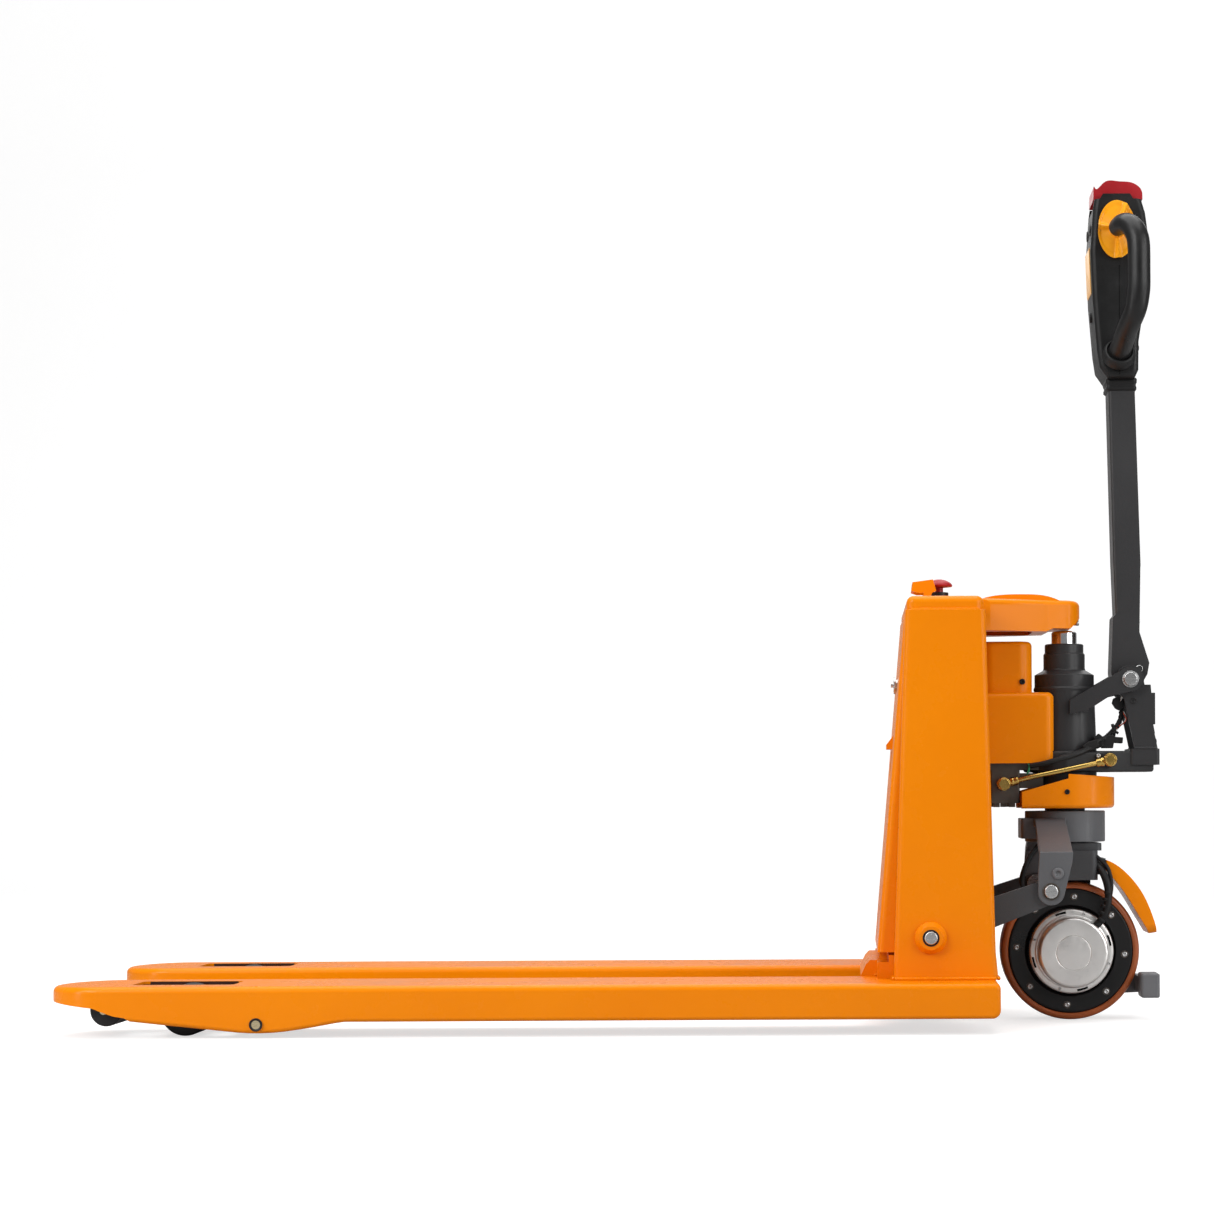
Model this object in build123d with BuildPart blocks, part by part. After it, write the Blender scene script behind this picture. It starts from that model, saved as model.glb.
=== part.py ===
"""Electric pallet truck, 1150 mm forks: welded fork chassis with a tapered battery box, rocker and
push-rod lift, steered drive column with hydraulic cylinder and hub-motor wheel, and a tiller with
control head.

Millimetres. +X points from the fork tips to the operator, +Y to the operator's right, +Z up.
The origin is on the floor under the middle of the truck's box. Front is the fork end (-X), rear
the operator's end (+X), left is -Y. Outlines and places are (X, Z) unless a comment says otherwise.
"""
from build123d import *
import math
import os

os.makedirs("parts", exist_ok=True)

# ---------------------------------------------------------------- driving dimensions
HALF_LENGTH = 798.0       # half the overall length
FORK_TOP = 73.0           # lowered fork height
FORK_BOTTOM = 22.5
FORK_OUT, FORK_IN = 280.0, 120.0   # outer and inner edge of a fork from the centre plane
FORK_Y = (FORK_OUT + FORK_IN) / 2
FORK_HALF = (FORK_OUT - FORK_IN) / 2
FORK_SHEET = 4.0
HEEL_X = 548.0            # rear end of the forks
NOSE_X = -(HALF_LENGTH - FORK_HALF)   # centre of the round fork nose

LOAD_RADIUS, ENTRY_RADIUS, DRIVE_RADIUS, RIM_RADIUS = 36.0, 22.5, 103.0, 93.0
STEER_X = 660.0           # steering axis
DRIVE_AXLE = (STEER_X + 5, DRIVE_RADIUS)
LOAD_AXLE = (-606.0, LOAD_RADIUS)
ENTRY_AXLE = (-710.0, 39.0)

ROCKER_SHAFT = (452.0, 133.0)    # in the chassis
ROCKER_PIN = (627.0, 196.0)      # in the collar
ROCKER_ARM = 74.5                # lower arm, shaft to push-rod pin
ROCKER_HALF_SWING = math.radians(17.75)
LINK_PIVOT = (-495.0, 19.6)      # of the load wheel link
LINK_ARM = 40.0                  # link's upright, pivot to push-rod pin
LINK_HALF_SWING = math.radians(34.6)

TILLER_PIVOT = (754.0, 506.0)
SPRING_EAR = (769.6, 522.3)      # gas spring pin on the tiller
SPRING_FOOT = (789.0, 414.0)
THROTTLE = (738.0, 1171.0)
HEAD_TOP = 1247.0

# radii of shafts and pins, and what is added for the holes they fit
SHAFT_RADIUS = 12.5
SHAFT_END_RADIUS = 9.5
LINK_BOLT_RADIUS = 8
ENTRY_PIN_RADIUS = 5
ROCKER_PIN_RADIUS = 10
TILLER_PIN_RADIUS = 10
SPINDLE_RADIUS = 30
AXLE_RADIUS = 15
THROTTLE_RADIUS = 7
BUTTON_RADIUS = 8
PIN_FIT = 0.06
SLIDE_FIT = 0.08


def shift(point, x, z):
    return (point[0] + x, point[1] + z)


# push-rod pins at the rocker and at the link, forks lowered
ROD_REAR = shift(ROCKER_SHAFT, ROCKER_ARM * math.sin(ROCKER_HALF_SWING),
                 -ROCKER_ARM * math.cos(ROCKER_HALF_SWING))
ROD_FRONT = shift(LINK_PIVOT, LINK_ARM * math.sin(LINK_HALF_SWING),
                  LINK_ARM * math.cos(LINK_HALF_SWING))

SIDES = (("left", -1), ("right", 1))


# ---------------------------------------------------------------- helpers
def y_plane(y):
    """Plane across the truck at Y = y. Local x is X, local y is Z, and it extrudes towards -Y."""
    return Plane.XZ.offset(-y)


def layer_start(side, inner, outer):
    """Y at which to start extruding a layer that lies inner to outer from the centre plane."""
    return outer if side > 0 else -inner


def both_sides(inner, outer):
    """Starting Y of a mirrored pair of layers, right then left."""
    return layer_start(1, inner, outer), layer_start(-1, inner, outer)


def save(part, name):
    part.label = name
    export_step(part, f"parts/{name}.step")


def soften(edges, radius):
    """Fillet what will take it, one radius smaller each time; edges that take none stay sharp."""
    for size in (radius, radius * 0.6, radius * 0.3):
        # the kernel may refuse a radius that does not fit
        try:
            fillet(edges, size)
            return
        except Exception:
            continue


def draw_arm(root, tip, root_radius, tip_radius, round_root=True):
    """Draw into the open BuildLine an arm with a round tip and a round or flat root."""
    angle = math.atan2(tip[1] - root[1], tip[0] - root[0])

    def place(centre, ahead, aside):
        return (centre[0] + ahead * math.cos(angle) - aside * math.sin(angle),
                centre[1] + ahead * math.sin(angle) + aside * math.cos(angle))

    root_start, root_end = place(root, 0, root_radius), place(root, 0, -root_radius)
    tip_start, tip_end = place(tip, 0, tip_radius), place(tip, 0, -tip_radius)
    Line(root_start, tip_start)
    ThreePointArc(tip_start, place(tip, tip_radius, 0), tip_end)
    Line(tip_end, root_end)
    if round_root:
        ThreePointArc(root_end, place(root, -root_radius, 0), root_start)
    else:
        Line(root_end, root_start)


# ---------------------------------------------------------------- forks
FORK_TIP_X = -806.0       # the profile runs past the nose, which is then cut round
PAD_FRONT = 366.0         # where the pad under the battery box starts


def fork_profile():
    """Side view of a fork: top, heel, then the underside swept down at the link pivot."""
    with BuildLine() as line:
        Polyline((FORK_TIP_X, 51.5), (FORK_TIP_X, 70.8))
        Spline((FORK_TIP_X, 70.8), (-780, 71.9), (-740, 72.7), (-700, FORK_TOP),
               tangents=((1, 0.08), (1, 0)))
        Polyline((-700, FORK_TOP), (HEEL_X, FORK_TOP), (HEEL_X, FORK_BOTTOM), (-372, FORK_BOTTOM))
        Spline((-372, FORK_BOTTOM), (-403, 17.5), (-440, 11.4), (-468, 8), (-495, 7), (-522, 8.2),
               tangents=((-1, -0.1), (-1, 0.1)))
        Polyline((-522, 8.2), (-567, 13), (-620, 18.5), (-672, 24.2), (-680, 29.5), (-695, 32),
                 (-712, 38), (-724, 43), (FORK_TIP_X, 51.5))
    return line.line


def make_fork(side):
    centre = side * FORK_Y
    left, right = centre - FORK_HALF, centre + FORK_HALF
    with BuildPart() as fork:
        with BuildSketch(y_plane(right)):
            with BuildLine():
                add(fork_profile())
            make_face()
        extrude(amount=2 * FORK_HALF)
        # the nose is round in plan
        with BuildSketch(Plane.XY):
            with BuildLine():
                Polyline((NOSE_X, right), (HEEL_X + 5, right), (HEEL_X + 5, left), (NOSE_X, left))
                ThreePointArc((NOSE_X, left), (NOSE_X - FORK_HALF, centre), (NOSE_X, right))
            make_face()
        extrude(amount=100, mode=Mode.INTERSECT)
        # rear corners, then the top edges
        rear = fork.edges().filter_by(Axis.Y).filter_by_position(Axis.X, HEEL_X - 1, HEEL_X + 1)
        fillet(rear.sort_by(Axis.Z)[0], 12)
        rear = fork.edges().filter_by(Axis.Z).filter_by_position(Axis.X, HEEL_X - 1, HEEL_X + 1)
        soften(rear, 6)
        top = [
            edge for edge in fork.edges()
            if edge.center().Z > 57 and edge.length > 8
            and (abs(abs(edge.center().Y - centre) - FORK_HALF) < 0.5 or edge.center().X < NOSE_X)
        ]
        soften(top, 9)
        # hollow from below, leaving the top sheet and the skirts
        with BuildSketch(y_plane(centre + 75)):
            with BuildLine():
                Polyline((-738, -5), (-738, 67), (-705, FORK_TOP - FORK_SHEET),
                         (HEEL_X - FORK_SHEET, FORK_TOP - FORK_SHEET), (HEEL_X - FORK_SHEET, -5),
                         (-738, -5))
            make_face()
        extrude(amount=150, mode=Mode.SUBTRACT)
        with BuildSketch(Plane.XY.offset(FORK_TOP + 5)):
            # load wheel opening
            with Locations((-608, centre)):
                RectangleRounded(144, 72, 8)
            # passage for the rocker's lower arm and the push rod, inside the battery box
            with Locations((ROCKER_SHAFT[0], side * 190)):
                Rectangle(100, 30)
        extrude(amount=-20, mode=Mode.SUBTRACT)
        # the battery box stands on a pad 0.5 mm below the load face
        with BuildSketch(Plane.XY.offset(FORK_TOP - 0.5)):
            with Locations(((PAD_FRONT + HEEL_X) / 2 + 2, centre)):
                Rectangle(HEEL_X - PAD_FRONT + 4, 170)
        extrude(amount=5, mode=Mode.SUBTRACT)
        # link bolt holes through both skirts
        with BuildSketch(y_plane(centre + 85)):
            with Locations(LINK_PIVOT):
                Circle(LINK_BOLT_RADIUS)
        extrude(amount=170, mode=Mode.SUBTRACT)
    return fork.part


for side_name, side in SIDES:
    save(make_fork(side), f"fork_{side_name}")

# bolts and axles that the links and entry rollers turn on, one pair per fork
with BuildPart() as fork_axles:
    for side in (-1, 1):
        centre = side * FORK_Y
        with BuildSketch(y_plane(centre + 81)):
            with Locations(LINK_PIVOT):
                Circle(LINK_BOLT_RADIUS)
        extrude(amount=162)
        for y in both_sides(80, 82):
            with BuildSketch(y_plane(centre + y)):
                with Locations(LINK_PIVOT):
                    Circle(9.2)
            extrude(amount=2)
        with BuildSketch(y_plane(centre + 75)):
            with Locations(ENTRY_AXLE):
                Circle(ENTRY_PIN_RADIUS)
        extrude(amount=150)
save(fork_axles.part, "fork_axles")

# ---------------------------------------------------------------- base between the forks
DOOR_HALF = 171           # half the width of the battery door and its sill
HINGE_X, HINGE_Z = 386, 112
HINGE = (HINGE_X, HINGE_Z)
HINGE_YS = (90, -90)
HINGE_PIN_RADIUS = 3
HINGE_RADIUS = 5          # of the lugs' round tops and the door's eyes

# horizontal plate with a sloping web and a lip at its front
BASE_OUTLINE = [
    (360, 90), (352, 73), (398, 27), (404, 27), (372, 67), (544, 67),
    (544, 73), (391, 73), (391, 96), (366, 96), (360, 90),
]
SILL_OUTLINE = [
    (376, 72.5), (402, 72.5), (402, 106), (392.5, 106), (392.5, 96), (376, 96), (376, 72.5),
]

with BuildPart() as base_plate:
    with BuildSketch(y_plane(FORK_IN)):
        with BuildLine():
            Polyline(*BASE_OUTLINE)
        make_face()
    extrude(amount=2 * FORK_IN)
    # clearance for the turning drive wheel
    with BuildSketch(Plane.XY.offset(20)):
        with Locations((STEER_X, 0)):
            Circle(158)
    extrude(amount=100, mode=Mode.SUBTRACT)
    # cross rib under the plate
    with BuildSketch(Plane.XY.offset(27)):
        with Locations((470, 0)):
            Rectangle(6, 2 * FORK_IN)
    extrude(amount=40.5)
    # sill across both forks under the door, with an upstand behind it
    with BuildSketch(y_plane(DOOR_HALF)):
        with BuildLine():
            Polyline(*SILL_OUTLINE)
        make_face()
    extrude(amount=2 * DOOR_HALF)
    # hinge lugs and pins of the battery door
    for hinge_y in HINGE_YS:
        for y in both_sides(14.5, 18):
            with BuildSketch(y_plane(hinge_y + y)):
                with BuildLine():
                    lug_front = (HINGE_X - HINGE_RADIUS, HINGE_Z)
                    lug_rear = (HINGE_X + HINGE_RADIUS, HINGE_Z)
                    Polyline((lug_front[0], 94), lug_front)
                    ThreePointArc(lug_front, (HINGE_X, HINGE_Z + HINGE_RADIUS), lug_rear)
                    Polyline(lug_rear, (lug_rear[0], 94), (lug_front[0], 94))
                make_face()
            extrude(amount=3.5)
        with BuildSketch(y_plane(hinge_y + 18)):
            with Locations(HINGE):
                Circle(HINGE_PIN_RADIUS)
        extrude(amount=36)
save(base_plate.part, "base_plate")

# ---------------------------------------------------------------- battery box
PANEL_IN, PANEL_OUT = 172, 210    # from the centre plane
PANEL_SHEET = 5
CAP_BOTTOM, CAP_TOP = 601, 621
ESTOP_X = 473
ESTOP_NECK_RADIUS = 11
GAUGE = (464, 78)                 # (X, Y)

PANEL_OUTLINE = [
    (399, 72.5), (HEEL_X, 72.5), (HEEL_X, 80), (545, 112), (532.5, CAP_BOTTOM), (418, CAP_BOTTOM),
]


def make_panel(side):
    with BuildPart() as panel:
        with BuildSketch(y_plane(layer_start(side, PANEL_IN, PANEL_OUT))):
            with BuildLine():
                Polyline(*PANEL_OUTLINE, PANEL_OUTLINE[0])
            make_face()
        extrude(amount=PANEL_OUT - PANEL_IN)
        outer = panel.faces().sort_by(Axis.Y)[-1 if side > 0 else 0]
        fillet([edge for edge in outer.edges() if edge.length > 400], 9)
        # hollow, open towards the centre, top and bottom
        with BuildSketch(y_plane(layer_start(side, PANEL_IN, PANEL_OUT - PANEL_SHEET))):
            with BuildLine():
                Polyline((404, 70), (541, 70), (527.4, 606), (423, 606), (404, 70))
            make_face()
        extrude(amount=PANEL_OUT - PANEL_SHEET - PANEL_IN, mode=Mode.SUBTRACT)
        # rocker shaft hole
        with BuildSketch(y_plane(layer_start(side, 170, 215))):
            with Locations(ROCKER_SHAFT):
                Circle(SHAFT_RADIUS + 0.1)
        extrude(amount=45, mode=Mode.SUBTRACT)
    return panel.part


for side_name, side in SIDES:
    save(make_panel(side), f"side_panel_{side_name}")

# a disc and a cone on each panel, bored in two steps for the rocker shaft
with BuildPart() as pivot_bosses:
    for side in (-1, 1):
        base = Plane(origin=(ROCKER_SHAFT[0], side * PANEL_OUT, ROCKER_SHAFT[1]),
                     x_dir=(1, 0, 0), z_dir=(0, side, 0))
        with BuildSketch(base):
            Circle(23)
        extrude(amount=5)
        with BuildSketch(base.offset(5)):
            Circle(23)
        with BuildSketch(base.offset(13)):
            Circle(17)
        loft()
        with BuildSketch(base.offset(-1)):
            Circle(SHAFT_RADIUS + SLIDE_FIT)
        extrude(amount=8.5, mode=Mode.SUBTRACT)
        with BuildSketch(base.offset(6)):
            Circle(SHAFT_END_RADIUS + 0.1)
        extrude(amount=10, mode=Mode.SUBTRACT)
save(pivot_bosses.part, "pivot_bosses")

BULKHEAD_X = 495
with BuildPart() as rear_bulkhead:
    # sheet with a window
    with BuildSketch(Plane.YZ.offset(BULKHEAD_X)):
        with Locations((0, 395)):
            Rectangle(409.8, 410)
        with Locations((0, 300)):
            Rectangle(120, 60, mode=Mode.SUBTRACT)
    extrude(amount=4)
    # stiffening flanges, one below and two at the top
    with BuildSketch(Plane.YZ.offset(BULKHEAD_X)):
        with Locations((0, 193)):
            Rectangle(330, 6)
        with Locations((-115, 597), (115, 597)):
            Rectangle(100, 6)
    extrude(amount=-14)
save(rear_bulkhead.part, "rear_bulkhead")

with BuildPart() as top_cap:
    with BuildSketch(Plane.XY.offset(CAP_BOTTOM)):
        with Locations((475, 0)):
            RectangleRounded(110, 412, 12)
    extrude(amount=CAP_TOP - CAP_BOTTOM)
    soften(top_cap.faces().sort_by(Axis.Z)[-1].edges(), 10)
    # hollow from below
    with BuildSketch(Plane.XY.offset(CAP_BOTTOM - 1)):
        with Locations((475, 0)):
            RectangleRounded(100, 402, 8)
    extrude(amount=16, mode=Mode.SUBTRACT)
    # holes for the stop button and the gauge
    with BuildSketch(Plane.XY.offset(CAP_BOTTOM - 1)):
        with Locations((ESTOP_X, 0)):
            Circle(ESTOP_NECK_RADIUS)
        with Locations(GAUGE):
            RectangleRounded(52, 36, 6)
    extrude(amount=30, mode=Mode.SUBTRACT)
    # the head arm passes under the cap's rear edge
    with BuildSketch(Plane.XY.offset(CAP_BOTTOM - 1)):
        with Locations((530, 0)):
            Rectangle(70, 196)
    extrude(amount=30, mode=Mode.SUBTRACT)
save(top_cap.part, "top_cap")

# head arm that the cylinder pushes up: a tapered box with a crowned top
CROWN_HALF = 46
# underside relief at the rounded rear end, over the piston
ARM_RELIEF = [
    (630, 577), (640, 582), (667, 582), (684, 600), (700, 600), (700, 570), (630, 570), (630, 577),
]
with BuildPart() as head_arm:
    # plan, (X, Y)
    with BuildSketch(Plane.XY.offset(577)):
        with BuildLine():
            Polyline((499, -95), (545, -95), (630, -56))
            Spline((630, -56), (668, -42), (682, 0), (668, 42), (630, 56),
                   tangents=((1, 0.35), (-1, 0.35)))
            Polyline((630, 56), (545, 95), (499, 95), (499, -95))
        make_face()
    extrude(amount=47)
    curved = head_arm.edges().filter_by(GeomType.BSPLINE).sort_by(Axis.Z)
    soften([curved[-1]], 9)
    # crown
    with BuildSketch(y_plane(CROWN_HALF)):
        with BuildLine():
            Spline((518, 620), (545, 629.5), (595, 633), (632, 630), (656, 620))
            Line((656, 620), (518, 620))
        make_face()
    extrude(amount=2 * CROWN_HALF)
    crown = [
        edge for edge in head_arm.edges().filter_by(GeomType.BSPLINE)
        if abs(abs(edge.center().Y) - CROWN_HALF) < 0.5
    ]
    soften(crown, 5)
    with BuildSketch(y_plane(100)):
        with BuildLine():
            Polyline(*ARM_RELIEF)
        make_face()
    extrude(amount=200, mode=Mode.SUBTRACT)
    # pocket from below, clear of the bearing pad over the piston
    with BuildSketch(Plane.XY.offset(574)):
        with Locations((565, 0)):
            RectangleRounded(90, 110, 10)
    extrude(amount=42, mode=Mode.SUBTRACT)
    # height-setting screw at the rounded end
    with BuildSketch(Plane.YZ.offset(664)):
        with Locations((0, 592.5)):
            Circle(4)
    extrude(amount=15)
save(head_arm.part, "head_arm")

# ---------------------------------------------------------------- battery door
LATCH_Z = 500
LATCH_RADIUS = 9

with BuildPart() as battery_door:
    with BuildSketch(y_plane(DOOR_HALF)):
        with BuildLine():
            Polyline((376, 110), (417.5, 598), (424, 598), (405, 110), (376, 110))
        make_face()
    extrude(amount=2 * DOOR_HALF)
    front = [
        edge for edge in battery_door.edges() if edge.length > 400 and edge.center().X < 400
    ]
    soften(front, 10)
    # hollow from behind
    with BuildSketch(y_plane(DOOR_HALF - 4)):
        with BuildLine():
            Polyline((380.3, 114), (421, 594), (434, 594), (420, 114), (380.3, 114))
        make_face()
    extrude(amount=2 * (DOOR_HALF - 4), mode=Mode.SUBTRACT)
    # handle hood with a finger slot under it
    with BuildSketch(y_plane(35)):
        with BuildLine():
            Polyline((404, 426), (392.5, 411), (392.5, 404), (402.5, 404), (404, 426))
        make_face()
    extrude(amount=70)
    with BuildSketch(Plane.YZ.offset(380)):
        with Locations((0, 383)):
            RectangleRounded(62, 38, 6)
    extrude(amount=30, mode=Mode.SUBTRACT)
    # latch hole
    with BuildSketch(Plane.YZ.offset(380)):
        with Locations((0, LATCH_Z)):
            Circle(LATCH_RADIUS + PIN_FIT)
    extrude(amount=40, mode=Mode.SUBTRACT)
    # hinges at the foot: room for the lugs, an eye between them and the pin's hole
    for hinge_y in HINGE_YS[::-1]:
        for y in both_sides(14, 19):
            with BuildSketch(y_plane(hinge_y + y)):
                with Locations((HINGE_X, 116)):
                    Rectangle(34, 24)
            extrude(amount=5, mode=Mode.SUBTRACT)
        with BuildSketch(y_plane(hinge_y + 14)):
            with Locations(HINGE):
                Circle(HINGE_RADIUS)
                Circle(HINGE_PIN_RADIUS + PIN_FIT, mode=Mode.SUBTRACT)
        extrude(amount=28)
        with BuildSketch(y_plane(hinge_y + 14)):
            with Locations(HINGE):
                Circle(HINGE_PIN_RADIUS + PIN_FIT)
        extrude(amount=28, mode=Mode.SUBTRACT)
save(battery_door.part, "battery_door")

with BuildPart() as door_latch:
    latch_plane = Plane(origin=(409, 0, LATCH_Z), x_dir=(0, 1, 0), z_dir=(-1, 0, 0))
    # barrel, flange, grip bar, and a crossbar inside the door
    with BuildSketch(latch_plane.offset(-6)):
        Circle(LATCH_RADIUS)
    extrude(amount=8)
    with BuildSketch(latch_plane.offset(2)):
        Circle(13)
    extrude(amount=3)
    with BuildSketch(latch_plane.offset(5)):
        RectangleRounded(20, 6, 2)
    extrude(amount=4)
    with BuildSketch(latch_plane.offset(-11)):
        Rectangle(26, 8)
    extrude(amount=5)
save(door_latch.part, "door_latch")

# ---------------------------------------------------------------- inside the battery box
BATTERY_X = 457
with BuildPart() as battery_pack:
    with BuildSketch(Plane.XY.offset(196)):
        with Locations((BATTERY_X, 0)):
            RectangleRounded(70, 270, 6)
    extrude(amount=250)
    soften(battery_pack.faces().sort_by(Axis.Z)[-1].edges(), 4)
    # handle loop
    with BuildSketch(y_plane(50)):
        with Locations((BATTERY_X, 462)):
            RectangleRounded(18, 34, 6)
            RectangleRounded(10, 18, 3, mode=Mode.SUBTRACT)
    extrude(amount=100)
save(battery_pack.part, "battery_pack")

CONTROLLER_Z = 540
with BuildPart() as controller:
    with BuildSketch(Plane.YZ.offset(493)):
        with Locations((0, CONTROLLER_Z)):
            RectangleRounded(170, 80, 5)
    extrude(amount=-40)
    # six fins on the front
    with BuildSketch(Plane.YZ.offset(453)):
        with Locations(*[(y, CONTROLLER_Z) for y in range(-60, 61, 24)]):
            Rectangle(6, 70)
    extrude(amount=-8)
save(controller.part, "controller")

# ---------------------------------------------------------------- controls on the cap
ESTOP_STEM_RADIUS = 6
with BuildPart() as estop_base:
    # flange, collar and neck through the cap: bottom Z, radius, height
    for bottom, radius, height in (
        (CAP_TOP, 19, 5), (CAP_TOP + 5, 14, 13), (590, ESTOP_NECK_RADIUS, 31),
    ):
        with BuildSketch(Plane.XY.offset(bottom)):
            with Locations((ESTOP_X, 0)):
                Circle(radius)
        extrude(amount=height)
    # stem hole
    with BuildSketch(Plane.XY.offset(612)):
        with Locations((ESTOP_X, 0)):
            Circle(ESTOP_STEM_RADIUS + PIN_FIT)
    extrude(amount=30, mode=Mode.SUBTRACT)
save(estop_base.part, "estop_base")

# stem and mushroom head
with BuildPart() as estop_button:
    with BuildSketch(Plane.XZ):
        with BuildLine():
            stem_x = ESTOP_X + ESTOP_STEM_RADIUS
            Polyline((ESTOP_X, 618), (stem_x, 618), (stem_x, 646), (492, 647.5), (493, 649))
            Spline((493, 649), (486, 656), (ESTOP_X, 659), tangents=((-0.3, 1), (-1, 0)))
            Line((ESTOP_X, 659), (ESTOP_X, 618))
        make_face()
    revolve(axis=Axis((ESTOP_X, 0, 0), (0, 0, 1)))
save(estop_button.part, "estop_button")

GUARD_CHEEK = [
    (431, 640), (432.5, 653), (463, 657), (468, 640), (462, 637), (455, CAP_TOP), (449, CAP_TOP),
    (449, 637), (440, 637), (431, 640),
]
with BuildPart() as estop_guard:
    # a cheek each side, joined by a wall across the front
    for y in (-24, 28):
        with BuildSketch(y_plane(y)):
            with BuildLine():
                Polyline(*GUARD_CHEEK)
            make_face()
        extrude(amount=4)
    with BuildSketch(y_plane(24)):
        with BuildLine():
            Polyline((431, 640), (432.5, 653), (436.5, 653), (435, 640), (431, 640))
        make_face()
    extrude(amount=48)
save(estop_guard.part, "estop_guard")

with BuildPart() as battery_gauge:
    # body in the cap, bezel on it and a sunk display
    with BuildSketch(Plane.XY.offset(610)):
        with Locations(GAUGE):
            RectangleRounded(52, 36, 6)
    extrude(amount=11)
    with BuildSketch(Plane.XY.offset(CAP_TOP)):
        with Locations(GAUGE):
            RectangleRounded(60, 44, 8)
    extrude(amount=3)
    with BuildSketch(Plane.XY.offset(CAP_TOP + 1.5)):
        with Locations(GAUGE):
            RectangleRounded(44, 28, 4)
    extrude(amount=3, mode=Mode.SUBTRACT)
save(battery_gauge.part, "battery_gauge")

# ---------------------------------------------------------------- rocker, shaft and push rods
with BuildPart() as pivot_shaft:
    # full shaft, with turned down ends that show in the bosses
    for half, radius in ((217, SHAFT_RADIUS), (226, SHAFT_END_RADIUS)):
        with BuildSketch(y_plane(half)):
            with Locations(ROCKER_SHAFT):
                Circle(radius)
        extrude(amount=2 * half)
    ends = pivot_shaft.faces().sort_by(Axis.Y)
    soften(ends[0].edges() + ends[-1].edges(), 2)
save(pivot_shaft.part, "pivot_shaft")

with BuildPart() as rocker_arms:
    # tube around the shaft
    with BuildSketch(y_plane(203)):
        with Locations(ROCKER_SHAFT):
            Circle(20)
    extrude(amount=406)
    # arms to the collar
    for y in both_sides(146, 156):
        with BuildSketch(y_plane(y)):
            with BuildLine():
                draw_arm(ROCKER_SHAFT, ROCKER_PIN, 24, 18)
            make_face()
        extrude(amount=10)
    # lower arms to the push rods
    for y in both_sides(191, 203):
        with BuildSketch(y_plane(y)):
            with BuildLine():
                draw_arm(ROCKER_SHAFT, ROD_REAR, 20, 11)
            make_face()
        extrude(amount=12)
    # push-rod pins
    for y in both_sides(177, 191):
        with BuildSketch(y_plane(y)):
            with Locations(ROD_REAR):
                Circle(6)
        extrude(amount=14)
    for place, radius in (
        (ROCKER_SHAFT, SHAFT_RADIUS), (ROCKER_PIN, ROCKER_PIN_RADIUS + PIN_FIT),
    ):
        with BuildSketch(y_plane(230)):
            with Locations(place):
                Circle(radius)
        extrude(amount=460, mode=Mode.SUBTRACT)
save(rocker_arms.part, "rocker_arms")

# push rod outline: the end it is measured from, X and Z from that end's pin
ROD_OUTLINE = [
    (ROD_REAR, 11, -14), (ROD_REAR, 11, 11), (ROD_REAR, -16, 11), (ROD_REAR, -50, -2),
    (ROD_FRONT, 40, 5), (ROD_FRONT, 16, 15.6), (ROD_FRONT, -9.5, 15.6), (ROD_FRONT, -9.5, -10),
    (ROD_FRONT, 14, -10), (ROD_REAR, -50, -16), (ROD_REAR, -16, -18), (ROD_REAR, 11, -14),
]
with BuildPart() as push_rods:
    for y in both_sides(178, 189):
        with BuildSketch(y_plane(y)):
            with BuildLine():
                Polyline(*[shift(pin, x, z) for pin, x, z in ROD_OUTLINE])
            make_face()
            # upright slots for the pins
            with Locations(shift(ROD_REAR, 0, -2.2)):
                SlotCenterToCenter(4.6, 12.8, rotation=90, mode=Mode.SUBTRACT)
            with Locations(shift(ROD_FRONT, 0, 3.4)):
                SlotCenterToCenter(7.2, 11.9, rotation=90, mode=Mode.SUBTRACT)
        extrude(amount=11)
save(push_rods.part, "push_rods")


# ---------------------------------------------------------------- load wheel links and wheels
def link_plate(y):
    """One side plate of a link, from its pivot to the wheel axle."""
    with BuildPart() as plate:
        with BuildSketch(y_plane(y)):
            with BuildLine():
                draw_arm(LINK_PIVOT, LOAD_AXLE, 13, 13)
            make_face()
            with Locations(LINK_PIVOT):
                Circle(LINK_BOLT_RADIUS + PIN_FIT, mode=Mode.SUBTRACT)
            with Locations(LOAD_AXLE):
                Circle(7, mode=Mode.SUBTRACT)
        extrude(amount=6)
    return plate.part


LOAD_AXLE_RADIUS = 8
plates = [link_plate(side * FORK_Y + y) for side in (-1, 1) for y in both_sides(35, 41)]
with BuildPart() as roller_links:
    add(plates)
    for side in (-1, 1):
        centre = side * FORK_Y
        # pivot tube in three lengths
        for y, length in ((60, 19.5), (35.5, 71), (-40.5, 19.5)):
            with BuildSketch(y_plane(centre + y)):
                with Locations(LINK_PIVOT):
                    Circle(12)
                    Circle(LINK_BOLT_RADIUS + PIN_FIT, mode=Mode.SUBTRACT)
            extrude(amount=length)
        # brace between the plates
        with BuildSketch(y_plane(centre + 35.5)):
            with Locations(shift(LINK_PIVOT, -42, 9)):
                Rectangle(10, 14, rotation=-9)
        extrude(amount=71)
        # upright
        with BuildSketch(y_plane(centre + 7)):
            with BuildLine():
                draw_arm(LINK_PIVOT, ROD_FRONT, 10.5, 8.5, round_root=False)
            make_face()
            with Locations(LINK_PIVOT):
                Circle(LINK_BOLT_RADIUS + PIN_FIT, mode=Mode.SUBTRACT)
        extrude(amount=14)
        # push-rod pin
        with BuildSketch(y_plane(layer_start(side, 176, 194))):
            with Locations(ROD_FRONT):
                Circle(5)
        extrude(amount=18)
        # wheel axle
        with BuildSketch(y_plane(centre + 43)):
            with Locations(LOAD_AXLE):
                Circle(LOAD_AXLE_RADIUS)
        extrude(amount=86)
save(roller_links.part, "roller_links")


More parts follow.
